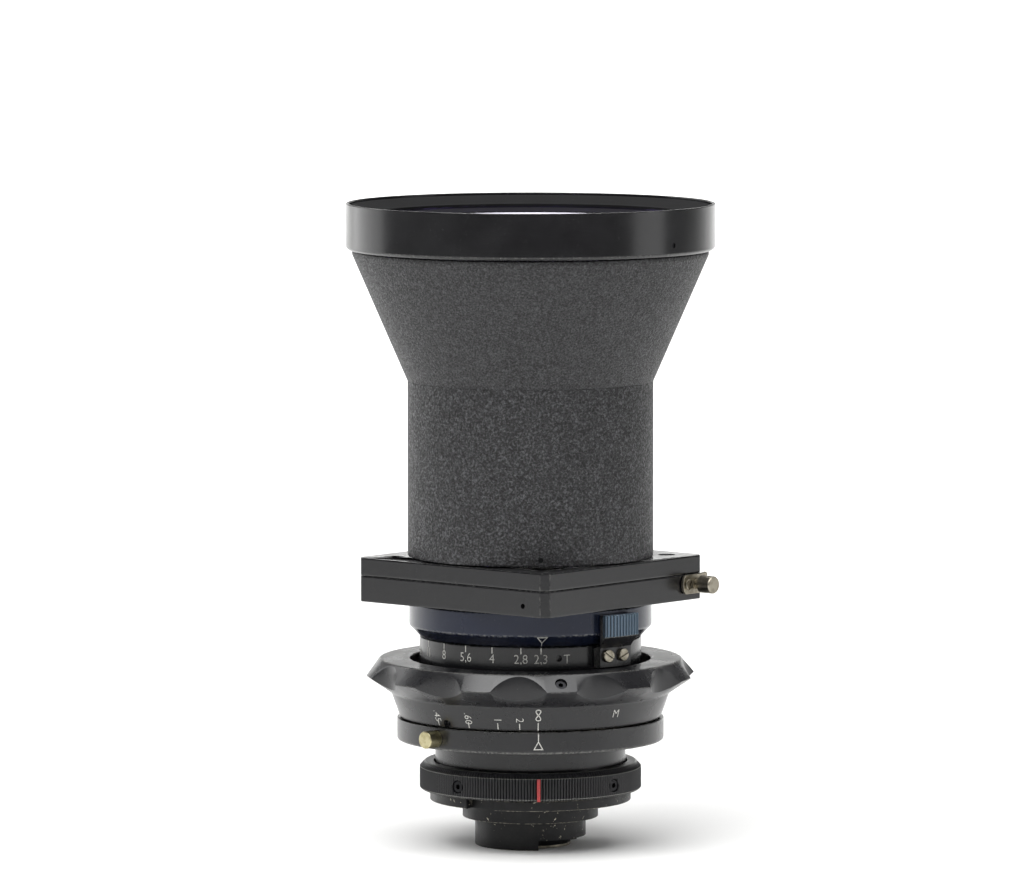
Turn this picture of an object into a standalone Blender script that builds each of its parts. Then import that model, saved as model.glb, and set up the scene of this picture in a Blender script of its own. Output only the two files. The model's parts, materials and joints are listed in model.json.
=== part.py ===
"""Wide-angle motion-picture camera lens, standing on its rear bayonet with the front glass up.

The lens axis is Z and the origin lies on it, on the plane that the lens stands on. The index marks
face -Y. An azimuth is in degrees round the axis from -Y towards +X. Sizes are in millimetres.
"""
import math

import bmesh
import bpy
from mathutils import Matrix, Vector

MM = 0.001                 # one millimetre in metres
GAP = 0.3                  # air left between two pieces that touch on the real lens
RUN = 0.5                  # radial clearance of a ring that turns
STEPS = 40                 # sides of a large turned piece
SMALL_STEPS = 28           # sides of a small turned piece
SCREW_STEPS = 14           # sides of a screw or a pin

# Rear mount
TUBE_R = 16.0              # rear tube
TUBE_WALL = 2.2
STEP_Z = 8.2               # start of the wider step over the rear tube
STEP_R = 19.6
STEP_HEIGHT = 4.6
CUTAWAY_HEIGHT = 2.8       # the tube's end is cut back over part of its rim
CUTAWAY_FROM, CUTAWAY_TO = 3.5, 118.0
SHIELD_R = 11.6            # light shield that the lens rests on
SHIELD_WALL = 1.2
SHIELD_HEIGHT = 6.5
PLATE_R = 29.0             # bayonet plate
PLATE_THICK = 2.9
PLATE_NOTCH_DEPTH = 3.4
PLATE_NOTCH_WIDTH = 9.0
PLATE_NOTCH_AZ = (-35.0, 145.0)
GRIP_R = 32.0              # knurled clamping ring
GRIP_HEIGHT = 6.6
GRIP_BEVEL = 1.5
GRIP_SCREW_AZ = 44.2
GRIP_SCREW_R = 1.6
NECK_R = 27.5
NECK_HEIGHT = 14.1

# Focusing mount
HELICOID_R = 34.3          # outer helicoid, fixed to the neck
HELICOID_WALL = 3.6
HELICOID_HEIGHT = 18.6     # with the flange under it
HELICOID_FLANGE = 1.2
INNER_HELICOID_WALL = 4.3
KEY_WIDTH, KEY_HEIGHT = 4.0, 6.5
KEYWAY_SPARE = 4.0         # the keyway is deeper than the key by this
INDEX_R = 38.5
INDEX_HEIGHT = 6.4
PIN_R = 2.5                # locating pin in the index ring
PIN_REACH = 4.5
PIN_AZ = -49.4
FOCUS_SCALE_R = 37.7       # bottom of the distance scale
FOCUS_SCALE_TOP_R = 40.2
FOCUS_SCALE_HEIGHT = 7.0
FOCUS_GRIP_R = 47.6        # widest edge
FOCUS_UNDER_HEIGHT = 5.0
FOCUS_TOP_R = 43.5
FOCUS_TOP_HEIGHT = 4.8
SCALLOPS = 12
SCALLOP_AZ = -9.0          # azimuth of the first scallop
SCALLOP_FLOOR_R = 43.9
SCALLOP_R = 12.9
FOCUS_SCREW_AZ = 6.2
FOCUS_SCREW_R = 1.5

# Aperture ring, its tab and the iris
APERTURE_R = 32.0
APERTURE_HEIGHT = 10.1
APERTURE_ROOM = 2.8        # air round the aperture ring inside the focus ring
TAB_AZ = 39.0
TAB_HALF_ANGLE = 9.8
TAB_BLOCK_R = 35.6
TAB_PAD_R = 38.3
TAB_PAD_HEIGHT = 7.0
TAB_SCREW_AZ = (33.2, 42.3)
TAB_SCREW_R = 2.2
IRIS_BORE = 15.5
IRIS_PLATE_THICK = 0.8
BLADES = 8
BLADE_THICK = 0.15
BLADE_PITCH = 0.4          # height from one blade to the next
BLADE_INSET = 1.5          # the blades lie this far inside the housing's bore
BLADE_WIDTH = 5.4
BLADE_PIVOT_IN = 2.0       # a pivot lies this far inside the blades' outer edge
IRIS_BELOW_STEP = 1.3      # from the housing's step down to the iris plate
DRIVE_RING_THICK = 1.8
DRIVE_PIN_AZ = 180.0
DRIVE_PIN_R = 0.8
DRIVE_SLACK = 4.0          # degrees that the drive slot runs on past the pin
BLADE_FROM, BLADE_TO = -5.0, 104.0
APERTURE_TURN = 86.4       # degrees from the widest stop to the smallest

# Lens housing and filter box
HOUSING_R = 35.0
HOUSING_BORE = 24.5
HOUSING_TUBE_WALL = 3.4
HOUSING_CHAMFER = 3.1
HOUSING_HEIGHT = 6.6
BOX_HALF = 35.7            # half of the square's side
BOX_CORNER = 2.05          # cut off each side at a corner
BOX_BODY_HEIGHT = 7.4
BOX_COVER_HEIGHT = 5.0
BOX_FLOOR = 2.4
BOX_COVER_BORE = 30.0
COVER_SCREW_AT = 39.4
COVER_SCREW_R = 2.3
COVER_SCREW_DEPTH = 2.6
DRAWER_HALF_WIDTH = 30.0
DRAWER_THICK = 3.2
DRAWER_BACK = 28.0
DRAWER_BORE = 25.0
DRAWER_FRONT_HALF = 33.0
DRAWER_FRONT_HEIGHT = 8.2
DRAWER_FRONT_THICK = 0.9
DRAWER_FRONT_LIFT = 1.3    # above the box's foot
FILTER_R = 27.0
FILTER_THICK = 1.3

# Latch of the filter drawer, on the right front face
LATCH_PIVOT = 26.9         # from the middle of the face
LATCH_KNOB = 30.5
LATCH_BACK = 2.1
LATCH_HALF_HEIGHT = 2.8
LATCH_THICK = 0.9
LATCH_Z = 75.6
KNOB_R, KNOB_FROM, KNOB_TO = 2.55, 3.2, 7.85
KNOB_NECK_R = 1.6

# Barrel, bell and front ring
BARREL_R = 35.4
BARREL_HEIGHT = 50.5
BARREL_WALL = 2.9
BARREL_SCREW_Z = 2.0       # above the foot of the barrel
BARREL_SCREW_R = 0.9
BARREL_SCREW_LENGTH = 1.7
BELL_R = 51.3
BELL_HEIGHT = 37.2
BELL_WALL = 2.2
BELL_BEAD = 1.1
FRONT_R = 53.1
FRONT_HEIGHT = 13.3
FRONT_CHAMFER = 1.4
FRONT_WALL = 0.9
FRONT_SEAT = 3.0
FRONT_SCREW_AZ = 45.0
FRONT_SCREW_Z = 3.2        # above the foot of the front ring
FRONT_SCREW_R = 0.65
FRONT_SCREW_LENGTH = 2.3
NAME_RING_WIDTH = 7.0
NAME_RING_DROP = 2.0
NAME_RING_THICK = 1.5
NAME_RING_TOP = 0.7        # below the rim

# Glass
FRONT_GLASS_R = 44.5
FRONT_GLASS_BELOW_RIM = 3.5
FRONT_GLASS_RISE = 0.6
FRONT_GLASS_EDGE = 6.2
FRONT_GLASS_HOLLOW_R = 31.0
FRONT_GLASS_HOLLOW = 3.4
SECOND_Z, SECOND_THICK, SECOND_R = 17.0, 8.0, 35.0
MIDDLE_Z, MIDDLE_HEIGHT, MIDDLE_R = 12.0, 20.0, 25.5
REAR_CELL_R = 12.8
REAR_CELL_BORE = 10.6
REAR_CELL_Z = 9.5
REAR_FLANGE_THICK = 3.0
REAR_GLASS_THICK = 5.0
REAR_GLASS_INSET = 1.5
REAR_SPACER_LENGTH = 5.0
REAR_SPACER_WALL = 1.2

# Levels along the axis, from the rear end up
SEAT_Z = STEP_Z + STEP_HEIGHT + GAP
PLATE_TOP = SEAT_Z + PLATE_THICK
NECK_Z = PLATE_TOP + GAP
NECK_TOP = NECK_Z + NECK_HEIGHT
INDEX_Z = NECK_TOP + GAP
INDEX_TOP = INDEX_Z + INDEX_HEIGHT
FLANGE_Z = NECK_TOP + GAP
FLANGE_TOP = FLANGE_Z + HELICOID_FLANGE
HELICOID_TOP = NECK_TOP + HELICOID_HEIGHT
FOCUS_Z = INDEX_TOP + GAP
FOCUS_SCALE_Z = FOCUS_Z + FOCUS_SCALE_HEIGHT
FOCUS_GRIP_Z = FOCUS_SCALE_Z + FOCUS_UNDER_HEIGHT
FOCUS_TOP = FOCUS_GRIP_Z + FOCUS_TOP_HEIGHT
INNER_HELICOID_Z = FLANGE_TOP + 2 * GAP
HOUSING_Z = HELICOID_TOP + 5 * GAP
APERTURE_Z = HOUSING_Z
APERTURE_TOP = APERTURE_Z + APERTURE_HEIGHT
HOUSING_STEP_Z = APERTURE_TOP + GAP
HOUSING_SIDE_Z = HOUSING_STEP_Z + HOUSING_CHAMFER
HOUSING_TOP = HOUSING_SIDE_Z + HOUSING_HEIGHT
BOX_Z = HOUSING_TOP + GAP
BOX_SEAM = BOX_Z + BOX_BODY_HEIGHT
COVER_Z = BOX_SEAM + GAP
COVER_TOP = COVER_Z + BOX_COVER_HEIGHT
BARREL_Z = COVER_TOP + GAP
BARREL_TOP = BARREL_Z + BARREL_HEIGHT
BELL_Z = BARREL_TOP + GAP
BELL_TOP = BELL_Z + BELL_HEIGHT
FRONT_Z = BELL_TOP + GAP
FRONT_TOP = FRONT_Z + FRONT_HEIGHT

# Radii that follow from their neighbours
TUBE_BORE = TUBE_R - TUBE_WALL
PLATE_BORE = STEP_R + GAP
NECK_BORE = PLATE_BORE + GAP
INNER_HELICOID_R = HELICOID_R - HELICOID_WALL - RUN
INNER_HELICOID_BORE = INNER_HELICOID_R - INNER_HELICOID_WALL
HOUSING_TUBE_R = HOUSING_BORE + HOUSING_TUBE_WALL
APERTURE_BORE = HOUSING_TUBE_R + RUN
IRIS_R = HOUSING_BORE - GAP
BLADE_OUT_R = HOUSING_BORE - BLADE_INSET
BLADE_IN_R = BLADE_OUT_R - BLADE_WIDTH
BLADE_PIVOT_R = BLADE_OUT_R - BLADE_PIVOT_IN
FOCUS_BORE = HELICOID_R + RUN
FOCUS_TOP_BORE = APERTURE_R + APERTURE_ROOM
BARREL_BORE = BARREL_R - BARREL_WALL
IRIS_Z = HOUSING_STEP_Z - IRIS_BELOW_STEP
BLADE_Z = IRIS_Z + IRIS_PLATE_THICK + GAP
DRIVE_RING_Z = IRIS_Z - DRIVE_RING_THICK - 3 * GAP
DRAWER_Z = BOX_Z + BOX_FLOOR + GAP
DRAWER_FRONT_Z = BOX_Z + DRAWER_FRONT_LIFT

# A face of the filter box: its outward direction, and the direction along it to the right corner
RIGHT_FRONT = Vector((math.sqrt(0.5), -math.sqrt(0.5), 0.0))
RIGHT_BACK = Vector((math.sqrt(0.5), math.sqrt(0.5), 0.0))

FINISHES = {
    "black_anodised": ((0.012, 0.012, 0.014), 0.35, 0.6),
    "crinkle_enamel": ((0.020, 0.020, 0.021), 0.85, 0.0),
    "gloss_black": ((0.008, 0.008, 0.010), 0.18, 0.2),
    "blue_black": ((0.014, 0.018, 0.030), 0.25, 0.5),
    "blue_grey_tab": ((0.140, 0.180, 0.220), 0.45, 0.6),
    "nickel": ((0.600, 0.570, 0.480), 0.30, 1.0),
    "brass_pin": ((0.620, 0.560, 0.380), 0.30, 1.0),
    "blackened_steel": ((0.020, 0.020, 0.022), 0.40, 0.9),
    "optical_glass": ((0.700, 0.780, 0.760), 0.03, 0.0),
    "matt_black_inside": ((0.006, 0.006, 0.006), 0.80, 0.0),
}


def polar(radius, azimuth, z=0.0):
    """Point at a radius and an azimuth, as a vector in millimetres."""
    angle = math.radians(azimuth)
    return Vector((radius * math.sin(angle), -radius * math.cos(angle), z))


def material(finish):
    """The finish's Principled material, made once."""
    found = bpy.data.materials.get(finish)
    if found:
        return found
    colour, roughness, metallic = FINISHES[finish]
    made = bpy.data.materials.new(finish)
    made.use_nodes = True
    shader = made.node_tree.nodes["Principled BSDF"]
    shader.inputs["Base Color"].default_value = (*colour, 1.0)
    shader.inputs["Roughness"].default_value = roughness
    shader.inputs["Metallic"].default_value = metallic
    return made


def body(name, at=(0.0, 0.0, 0.0)):
    """Empty on a joint's axis, which carries the pieces that move together."""
    empty = bpy.data.objects.new(name + "_axis", None)
    empty.location = Vector(at) * MM
    bpy.context.collection.objects.link(empty)
    return empty


def make(name, bm, finish=None, carrier=None):
    """Object from a bmesh in millimetres. Without a finish it is a cutter."""
    bmesh.ops.remove_doubles(bm, verts=bm.verts, dist=0.0001)
    bmesh.ops.dissolve_degenerate(bm, dist=0.0001, edges=bm.edges)
    bmesh.ops.recalc_face_normals(bm, faces=bm.faces)
    origin = carrier.location if carrier else Vector()
    bmesh.ops.transform(bm, matrix=Matrix.Translation(-origin) @ Matrix.Scale(MM, 4), verts=bm.verts)
    mesh = bpy.data.meshes.new(name)
    bm.to_mesh(mesh)
    bm.free()
    mesh.shade_smooth()
    mesh.set_sharp_from_angle(angle=math.radians(30))
    made = bpy.data.objects.new(name, mesh)
    bpy.context.collection.objects.link(made)
    if finish:
        mesh.materials.append(material(finish))
        made.parent = carrier
    else:
        made.hide_render = True
        made.display_type = "WIRE"
    return made


def turned(outline, steps=STEPS, first=0.0, sweep=360.0, wave=None):
    """Bmesh of an outline of (radius, z) points turned round the axis, from azimuth first.

    The outline closes on itself, unless its two ends lie on the axis. wave(radius, z, azimuth)
    gives a point's radius where the piece isn't round.
    """
    bm = bmesh.new()
    points = [bm.verts.new(polar(radius, first, z)) for radius, z in outline]
    edges = [bm.edges.new(pair) for pair in zip(points, points[1:])]
    if outline[0][0] > 0 or outline[-1][0] > 0:
        edges.append(bm.edges.new((points[-1], points[0])))
    whole = sweep >= 360.0
    bmesh.ops.spin(bm, geom=points + edges, cent=(0, 0, 0), axis=(0, 0, 1), angle=math.radians(sweep),
                   steps=steps, use_merge=whole)
    if not whole:
        bmesh.ops.holes_fill(bm, edges=[edge for edge in bm.edges if edge.is_boundary])
    if wave:
        for vert in bm.verts:
            radius = math.hypot(vert.co.x, vert.co.y)
            azimuth = math.degrees(math.atan2(vert.co.x, -vert.co.y))
            vert.co.xy = polar(wave(radius, vert.co.z, azimuth), azimuth).xy
    return bm


def ring(inner, outer, low, high):
    """Outline of a plain ring."""
    return [(inner, low), (outer, low), (outer, high), (inner, high)]


def lens_outline(radius, low, high, bottom_sag, top_sag, points=5):
    """Outline of a lens element from pole to pole. A sag above 0 bulges outwards."""
    def arc(level, sag, sign):
        return [(radius * k / points, level + sign * sag * (1 - (k / points) ** 2)) for k in range(points + 1)]
    return arc(low, bottom_sag, -1) + arc(high, top_sag, 1)[::-1]


def rod(start, end, start_radius, end_radius=None, steps=SCREW_STEPS):
    """Bmesh of a round rod or a frustum between two points."""
    bm = bmesh.new()
    line = Vector(end) - Vector(start)
    turn = Vector((0, 0, 1)).rotation_difference(line).to_matrix().to_4x4()
    place = Matrix.Translation((Vector(start) + Vector(end)) / 2) @ turn
    bmesh.ops.create_cone(bm, cap_ends=True, segments=steps, radius1=start_radius, depth=line.length,
                          radius2=start_radius if end_radius is None else end_radius, matrix=place)
    return bm


def block(size, centre, along=Vector((1, 0, 0)), up=Vector((0, 0, 1))):
    """Bmesh of a box, whose first side runs along one direction and whose last runs along up."""
    bm = bmesh.new()
    along, up = along.normalized(), up.normalized()
    turn = Matrix((along, up.cross(along), up)).transposed().to_4x4()
    place = Matrix.Translation(centre) @ turn @ Matrix.Diagonal((*size, 1.0))
    bmesh.ops.create_cube(bm, size=1.0, matrix=place)
    return bm


def boolean(target, tool, operation="DIFFERENCE"):
    """Cut a tool out of the target, or join it on."""
    change = target.modifiers.new(operation.lower(), "BOOLEAN")
    change.operation = operation
    change.object = tool


def slotted(name, start, end, radius, carrier, finish="nickel", foot=None, slot=Vector((0, 0, 1))):
    """Screw whose slotted head faces from start to end. foot is the radius at the start."""
    screw = make(name, rod(start, end, foot or radius, radius), finish, carrier)
    axis = (Vector(end) - Vector(start)).normalized()
    across = axis.cross(slot).normalized()
    tool = block((2.4 * radius, 0.25 * radius, 0.5 * radius), end, along=axis.cross(across), up=axis)
    boolean(screw, make(name + "_slot", tool))
    return screw


def socket_screw(name, start, end, radius, carrier):
    """Grub screw with a hexagon socket in the end that faces out."""
    screw = make(name, rod(start, end, radius), "blackened_steel", carrier)
    axis = (Vector(end) - Vector(start)).normalized()
    tool = rod(Vector(end) - axis * radius * 0.8, Vector(end) + axis, 0.5 * radius, steps=6)
    boolean(screw, make(name + "_socket", tool))
    return screw


def bell_bore(z):
    """Inside radius of the bell at a height."""
    slope = (BELL_R - BARREL_R) / BELL_HEIGHT
    return BARREL_R - BELL_WALL + slope * (z - BELL_Z)


def scalloped(radius, z, azimuth):
    """Radius of the focus ring, less the scallops that a round cutter leaves round it."""
    pitch = 360.0 / SCALLOPS
    offset = math.radians((azimuth - SCALLOP_AZ + pitch / 2) % pitch - pitch / 2)
    centre = SCALLOP_FLOOR_R + SCALLOP_R
    inside = SCALLOP_R ** 2 - (centre * math.sin(offset)) ** 2
    if inside <= 0 or radius <= SCALLOP_FLOOR_R:
        return radius
    return min(radius, centre * math.cos(offset) - math.sqrt(inside))


def build_rear_mount(root):
    """Everything that stays still when the lens is focused."""
    rear_tube = make("rear_tube", turned([
        (TUBE_BORE, 0.0), (TUBE_R, 0.0), (TUBE_R, STEP_Z), (STEP_R, STEP_Z),
        (STEP_R, STEP_Z + STEP_HEIGHT), (TUBE_BORE, STEP_Z + STEP_HEIGHT)]), "black_anodised", root)
    cutaway = ring(TUBE_BORE - 1, TUBE_R + 1, -1, CUTAWAY_HEIGHT)
    boolean(rear_tube, make("cutaway", turned(cutaway, 16, CUTAWAY_FROM, CUTAWAY_TO - CUTAWAY_FROM)))
    shield_bore = SHIELD_R - SHIELD_WALL
    make("rear_light_shield", turned([
        (shield_bore, 0.0), (SHIELD_R, 0.0), (SHIELD_R, SHIELD_HEIGHT - SHIELD_WALL),
        (TUBE_BORE - GAP, SHIELD_HEIGHT - SHIELD_WALL), (TUBE_BORE - GAP, SHIELD_HEIGHT),
        (shield_bore, SHIELD_HEIGHT)], SMALL_STEPS), "nickel", root)
    plate = make("bayonet_plate", turned(ring(PLATE_BORE, PLATE_R, SEAT_Z, PLATE_TOP)),
                 "black_anodised", root)
    notch = (PLATE_NOTCH_WIDTH, 2 * PLATE_NOTCH_DEPTH, 2 * PLATE_THICK)
    for azimuth in PLATE_NOTCH_AZ:
        tool = block(notch, polar(PLATE_R, azimuth, SEAT_Z), along=polar(1, azimuth + 90))
        boolean(plate, make(f"plate_notch_{azimuth:.0f}", tool))
    grip_top = NECK_Z + GRIP_HEIGHT
    grip = make("grip_ring", turned([
        (NECK_R + GAP, NECK_Z), (GRIP_R, NECK_Z), (GRIP_R, grip_top),
        (GRIP_R - GRIP_BEVEL, grip_top + GRIP_BEVEL), (NECK_R + GAP, grip_top + GRIP_BEVEL)]),
        "black_anodised", root)
    screw_z = NECK_Z + GRIP_HEIGHT / 2
    for number in range(4):
        azimuth = GRIP_SCREW_AZ + 90 * number
        hole = rod(polar(NECK_R - 1, azimuth, screw_z), polar(GRIP_R + 1, azimuth, screw_z), GRIP_SCREW_R + GAP)
        boolean(grip, make(f"grip_hole_{number + 1}", hole))
        socket_screw(f"grip_screw_{number + 1}", polar(NECK_R + GAP, azimuth, screw_z),
                     polar(GRIP_R - 0.4, azimuth, screw_z), GRIP_SCREW_R, root)
    make("mount_neck", turned(ring(NECK_BORE, NECK_R, NECK_Z, NECK_TOP)), "black_anodised", root)
    make("helicoid_flange", turned(ring(NECK_BORE, HELICOID_R, FLANGE_Z, FLANGE_TOP)), "black_anodised", root)
    make("outer_helicoid", turned(ring(HELICOID_R - HELICOID_WALL, HELICOID_R, FLANGE_TOP + GAP, HELICOID_TOP)),
         "nickel", root)
    make("index_ring", turned(ring(HELICOID_R + GAP, INDEX_R, INDEX_Z, INDEX_TOP)), "black_anodised", root)
    pin_z = INDEX_Z + INDEX_HEIGHT / 2
    make("locating_pin", rod(polar(INDEX_R + GAP, PIN_AZ, pin_z), polar(INDEX_R + PIN_REACH, PIN_AZ, pin_z),
                             PIN_R), "brass_pin", root)
    key = (KEY_WIDTH, INNER_HELICOID_WALL, KEY_HEIGHT)
    key_centre = Vector((0, (INNER_HELICOID_R + INNER_HELICOID_BORE) / 2, FLANGE_TOP + GAP + KEY_HEIGHT / 2))
    make("focus_guide_key", block(key, key_centre), "blackened_steel", root)
    return key, key_centre


def build_focus_ring(carrier):
    """Scalloped focusing ring with its screw."""
    half = (FOCUS_GRIP_R + FOCUS_TOP_R) / 2
    lower = (FOCUS_GRIP_R + FOCUS_SCALE_TOP_R) / 2
    outline = [
        (FOCUS_BORE, FOCUS_Z), (FOCUS_SCALE_R, FOCUS_Z), (FOCUS_SCALE_TOP_R, FOCUS_SCALE_Z),
        (lower, (FOCUS_SCALE_Z + FOCUS_GRIP_Z) / 2), (FOCUS_GRIP_R, FOCUS_GRIP_Z),
        (half, (FOCUS_GRIP_Z + FOCUS_TOP) / 2), (FOCUS_TOP_R, FOCUS_TOP), (FOCUS_TOP_BORE, FOCUS_TOP),
        (FOCUS_TOP_BORE, HELICOID_TOP + GAP), (FOCUS_BORE, HELICOID_TOP + GAP)]
    focus = make("focus_ring", turned(outline, 6 * SCALLOPS, SCALLOP_AZ, wave=scalloped), "black_anodised",
                 carrier)
    face = polar(half, FOCUS_SCREW_AZ, (FOCUS_GRIP_Z + FOCUS_TOP) / 2)
    out = (polar(FOCUS_TOP_HEIGHT, FOCUS_SCREW_AZ) + Vector((0, 0, FOCUS_GRIP_R - FOCUS_TOP_R))).normalized()
    boolean(focus, make("focus_screw_hole", rod(face - 4 * out, face + 2 * out, FOCUS_SCREW_R + GAP)))
    socket_screw("focus_set_screw", face - 3.7 * out, face - 0.7 * out, FOCUS_SCREW_R, carrier)


def build_aperture_ring(carrier):
    """Aperture ring, its screwed-on thumb tab, and the drive to the iris."""
    make("aperture_ring", turned(ring(APERTURE_BORE, APERTURE_R, APERTURE_Z, APERTURE_TOP)), "gloss_black",
         carrier)
    inner = APERTURE_R + GAP
    pad_z = HOUSING_SIDE_Z - 1.4
    outline = [
        (inner, FOCUS_TOP + GAP), (TAB_BLOCK_R, FOCUS_TOP + GAP), (TAB_BLOCK_R, pad_z - 2.4),
        (TAB_PAD_R, pad_z), (TAB_PAD_R, pad_z + TAB_PAD_HEIGHT), (HOUSING_R + RUN, pad_z + TAB_PAD_HEIGHT),
        (HOUSING_R + RUN, HOUSING_SIDE_Z), (inner, APERTURE_TOP)]
    make("aperture_tab", turned(outline, 6, TAB_AZ - TAB_HALF_ANGLE, 2 * TAB_HALF_ANGLE), "blue_grey_tab",
         carrier)
    screw_z = APERTURE_TOP - 3.2
    for number, azimuth in enumerate(TAB_SCREW_AZ, 1):
        slotted(f"tab_screw_{number}", polar(TAB_BLOCK_R + GAP, azimuth, screw_z),
                polar(TAB_BLOCK_R + 1.6, azimuth, screw_z), TAB_SCREW_R, carrier)
    make("iris_drive_ring", turned(ring(IRIS_R - 4, IRIS_R, DRIVE_RING_Z, DRIVE_RING_Z + DRIVE_RING_THICK),
                                   SMALL_STEPS), "blackened_steel", carrier)
    pin_z = DRIVE_RING_Z + DRIVE_RING_THICK / 2
    make("iris_drive_pin", rod(polar(IRIS_R + GAP, DRIVE_PIN_AZ, pin_z),
                               polar(APERTURE_BORE - GAP, DRIVE_PIN_AZ, pin_z), DRIVE_PIN_R, steps=10),
         "blackened_steel", carrier)


def build_iris_blades():
    """Crescent blades, one above the other, each on its own pivot."""
    for number in range(BLADES):
        azimuth = 360.0 * number / BLADES
        low = BLADE_Z + number * BLADE_PITCH
        carrier = body(f"iris_blade_{number + 1}", polar(BLADE_PIVOT_R, azimuth, low))
        outline = ring(BLADE_IN_R, BLADE_OUT_R, low, low + BLADE_THICK)
        make(f"iris_blade_{number + 1}", turned(outline, 10, azimuth + BLADE_FROM, BLADE_TO - BLADE_FROM),
             "blackened_steel", carrier)


def build_rear_optics(block_carrier, key, key_centre):
    """Inner helicoid and the rear group, which travel when the lens is focused."""
    helicoid = make("inner_helicoid", turned(
        ring(INNER_HELICOID_BORE, INNER_HELICOID_R, INNER_HELICOID_Z, HOUSING_Z - GAP)), "nickel", block_carrier)
    keyway = (key[0] + 2 * GAP, key[1] + KEYWAY_SPARE, key[2] + KEYWAY_SPARE)
    boolean(helicoid, make("keyway", block(keyway, key_centre)))
    flange_r = INNER_HELICOID_BORE - GAP
    make("rear_cell", turned([
        (REAR_CELL_BORE, REAR_CELL_Z), (REAR_CELL_R, REAR_CELL_Z), (REAR_CELL_R, INNER_HELICOID_Z),
        (flange_r, INNER_HELICOID_Z), (flange_r, INNER_HELICOID_Z + REAR_FLANGE_THICK),
        (REAR_CELL_BORE, INNER_HELICOID_Z + REAR_FLANGE_THICK)], SMALL_STEPS), "matt_black_inside", block_carrier)
    glass_r = REAR_CELL_BORE - GAP
    low = REAR_CELL_Z + REAR_GLASS_INSET
    make("rear_element", turned(lens_outline(glass_r, low, low + REAR_GLASS_THICK, 1.0, 1.6, 4), SMALL_STEPS),
         "optical_glass", block_carrier)
    spacer_z = low + REAR_GLASS_THICK + 2 * GAP
    make("rear_spacer", turned(ring(glass_r - REAR_SPACER_WALL, glass_r, spacer_z,
                                     spacer_z + REAR_SPACER_LENGTH), SMALL_STEPS),
         "matt_black_inside", block_carrier)
    second = spacer_z + REAR_SPACER_LENGTH + GAP
    make("rear_inner_element", turned(lens_outline(glass_r, second, second + REAR_GLASS_THICK, -0.8, 1.6, 4),
                                      SMALL_STEPS), "optical_glass", block_carrier)


def build_housing(carrier):
    """Lens housing above the aperture ring, with the slot for the iris drive, and the iris plates."""
    housing = make("lens_housing", turned([
        (HOUSING_BORE, HOUSING_Z), (HOUSING_TUBE_R, HOUSING_Z), (HOUSING_TUBE_R, HOUSING_STEP_Z),
        (APERTURE_R, HOUSING_STEP_Z), (HOUSING_R, HOUSING_SIDE_Z), (HOUSING_R, HOUSING_TOP),
        (HOUSING_BORE, HOUSING_TOP)]), "blue_black", carrier)
    slot = ring(HOUSING_BORE - 1, HOUSING_TUBE_R + RUN / 2, DRIVE_RING_Z - GAP,
                DRIVE_RING_Z + DRIVE_RING_THICK + GAP)
    sweep = APERTURE_TURN + 2 * DRIVE_SLACK
    boolean(housing, make("drive_slot", turned(slot, 16, DRIVE_PIN_AZ - DRIVE_SLACK, sweep)))
    top = BLADE_Z + BLADES * BLADE_PITCH
    for name, low in (("iris_plate", IRIS_Z), ("iris_cover", top)):
        make(name, turned(ring(IRIS_BORE, IRIS_R, low, low + IRIS_PLATE_THICK), SMALL_STEPS),
             "blackened_steel", carrier)


def square(low, high):
    """Bmesh of the filter box's outline, a square on its corner with its corners cut, between two heights."""
    bm = bmesh.new()
    near, far = BOX_HALF, BOX_HALF - BOX_CORNER
    places = [(near, -far), (near, far), (far, near), (-far, near), (-near, far), (-near, -far),
              (-far, -near), (far, -near)]
    base = bm.faces.new([bm.verts.new(RIGHT_FRONT * a + RIGHT_BACK * b + Vector((0, 0, low))) for a, b in places])
    pulled = bmesh.ops.extrude_face_region(bm, geom=[base])["geom"]
    tops = [item for item in pulled if isinstance(item, bmesh.types.BMVert)]
    bmesh.ops.translate(bm, verts=tops, vec=(0, 0, high - low))
    return bm


def build_filter_box(carrier):
    """Square box with its cover, cover screws, and the slide-in filter drawer's slot."""
    lower = make("box_body", square(BOX_Z, BOX_SEAM), "gloss_black", carrier)
    boolean(lower, make("box_bore", rod((0, 0, BOX_Z - 1), (0, 0, BOX_SEAM + 1), HOUSING_BORE, steps=STEPS)))
    length = DRAWER_BACK + GAP + BOX_HALF + 2
    middle = RIGHT_BACK * (length / 2 - DRAWER_BACK - GAP)
    width = 2 * (DRAWER_HALF_WIDTH + GAP)
    floor = BOX_Z + BOX_FLOOR
    tool = block((length, width, BOX_BODY_HEIGHT), middle + Vector((0, 0, floor + BOX_BODY_HEIGHT / 2)),
                 along=RIGHT_BACK)
    boolean(lower, make("drawer_slot", tool))
    cover = make("box_cover", square(COVER_Z, COVER_TOP), "gloss_black", carrier)
    bore = rod((0, 0, COVER_Z - 1), (0, 0, COVER_TOP + 1), BOX_COVER_BORE, steps=STEPS)
    boolean(cover, make("cover_bore", bore))
    foot = COVER_SCREW_R * 0.45
    for number in range(4):
        at = polar(COVER_SCREW_AT, 90.0 * number)
        low = at + Vector((0, 0, COVER_TOP - COVER_SCREW_DEPTH))
        high = at + Vector((0, 0, COVER_TOP - GAP / 2))
        sink = rod(low - Vector((0, 0, GAP)), high + Vector((0, 0, GAP / 2 + 0.01)), foot + GAP, COVER_SCREW_R + GAP)
        boolean(cover, make(f"countersink_{number + 1}", sink))
        slotted(f"cover_screw_{number + 1}", low, high, COVER_SCREW_R, carrier, "blackened_steel", foot,
                slot=polar(1, 90.0 * number + 30))


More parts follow.
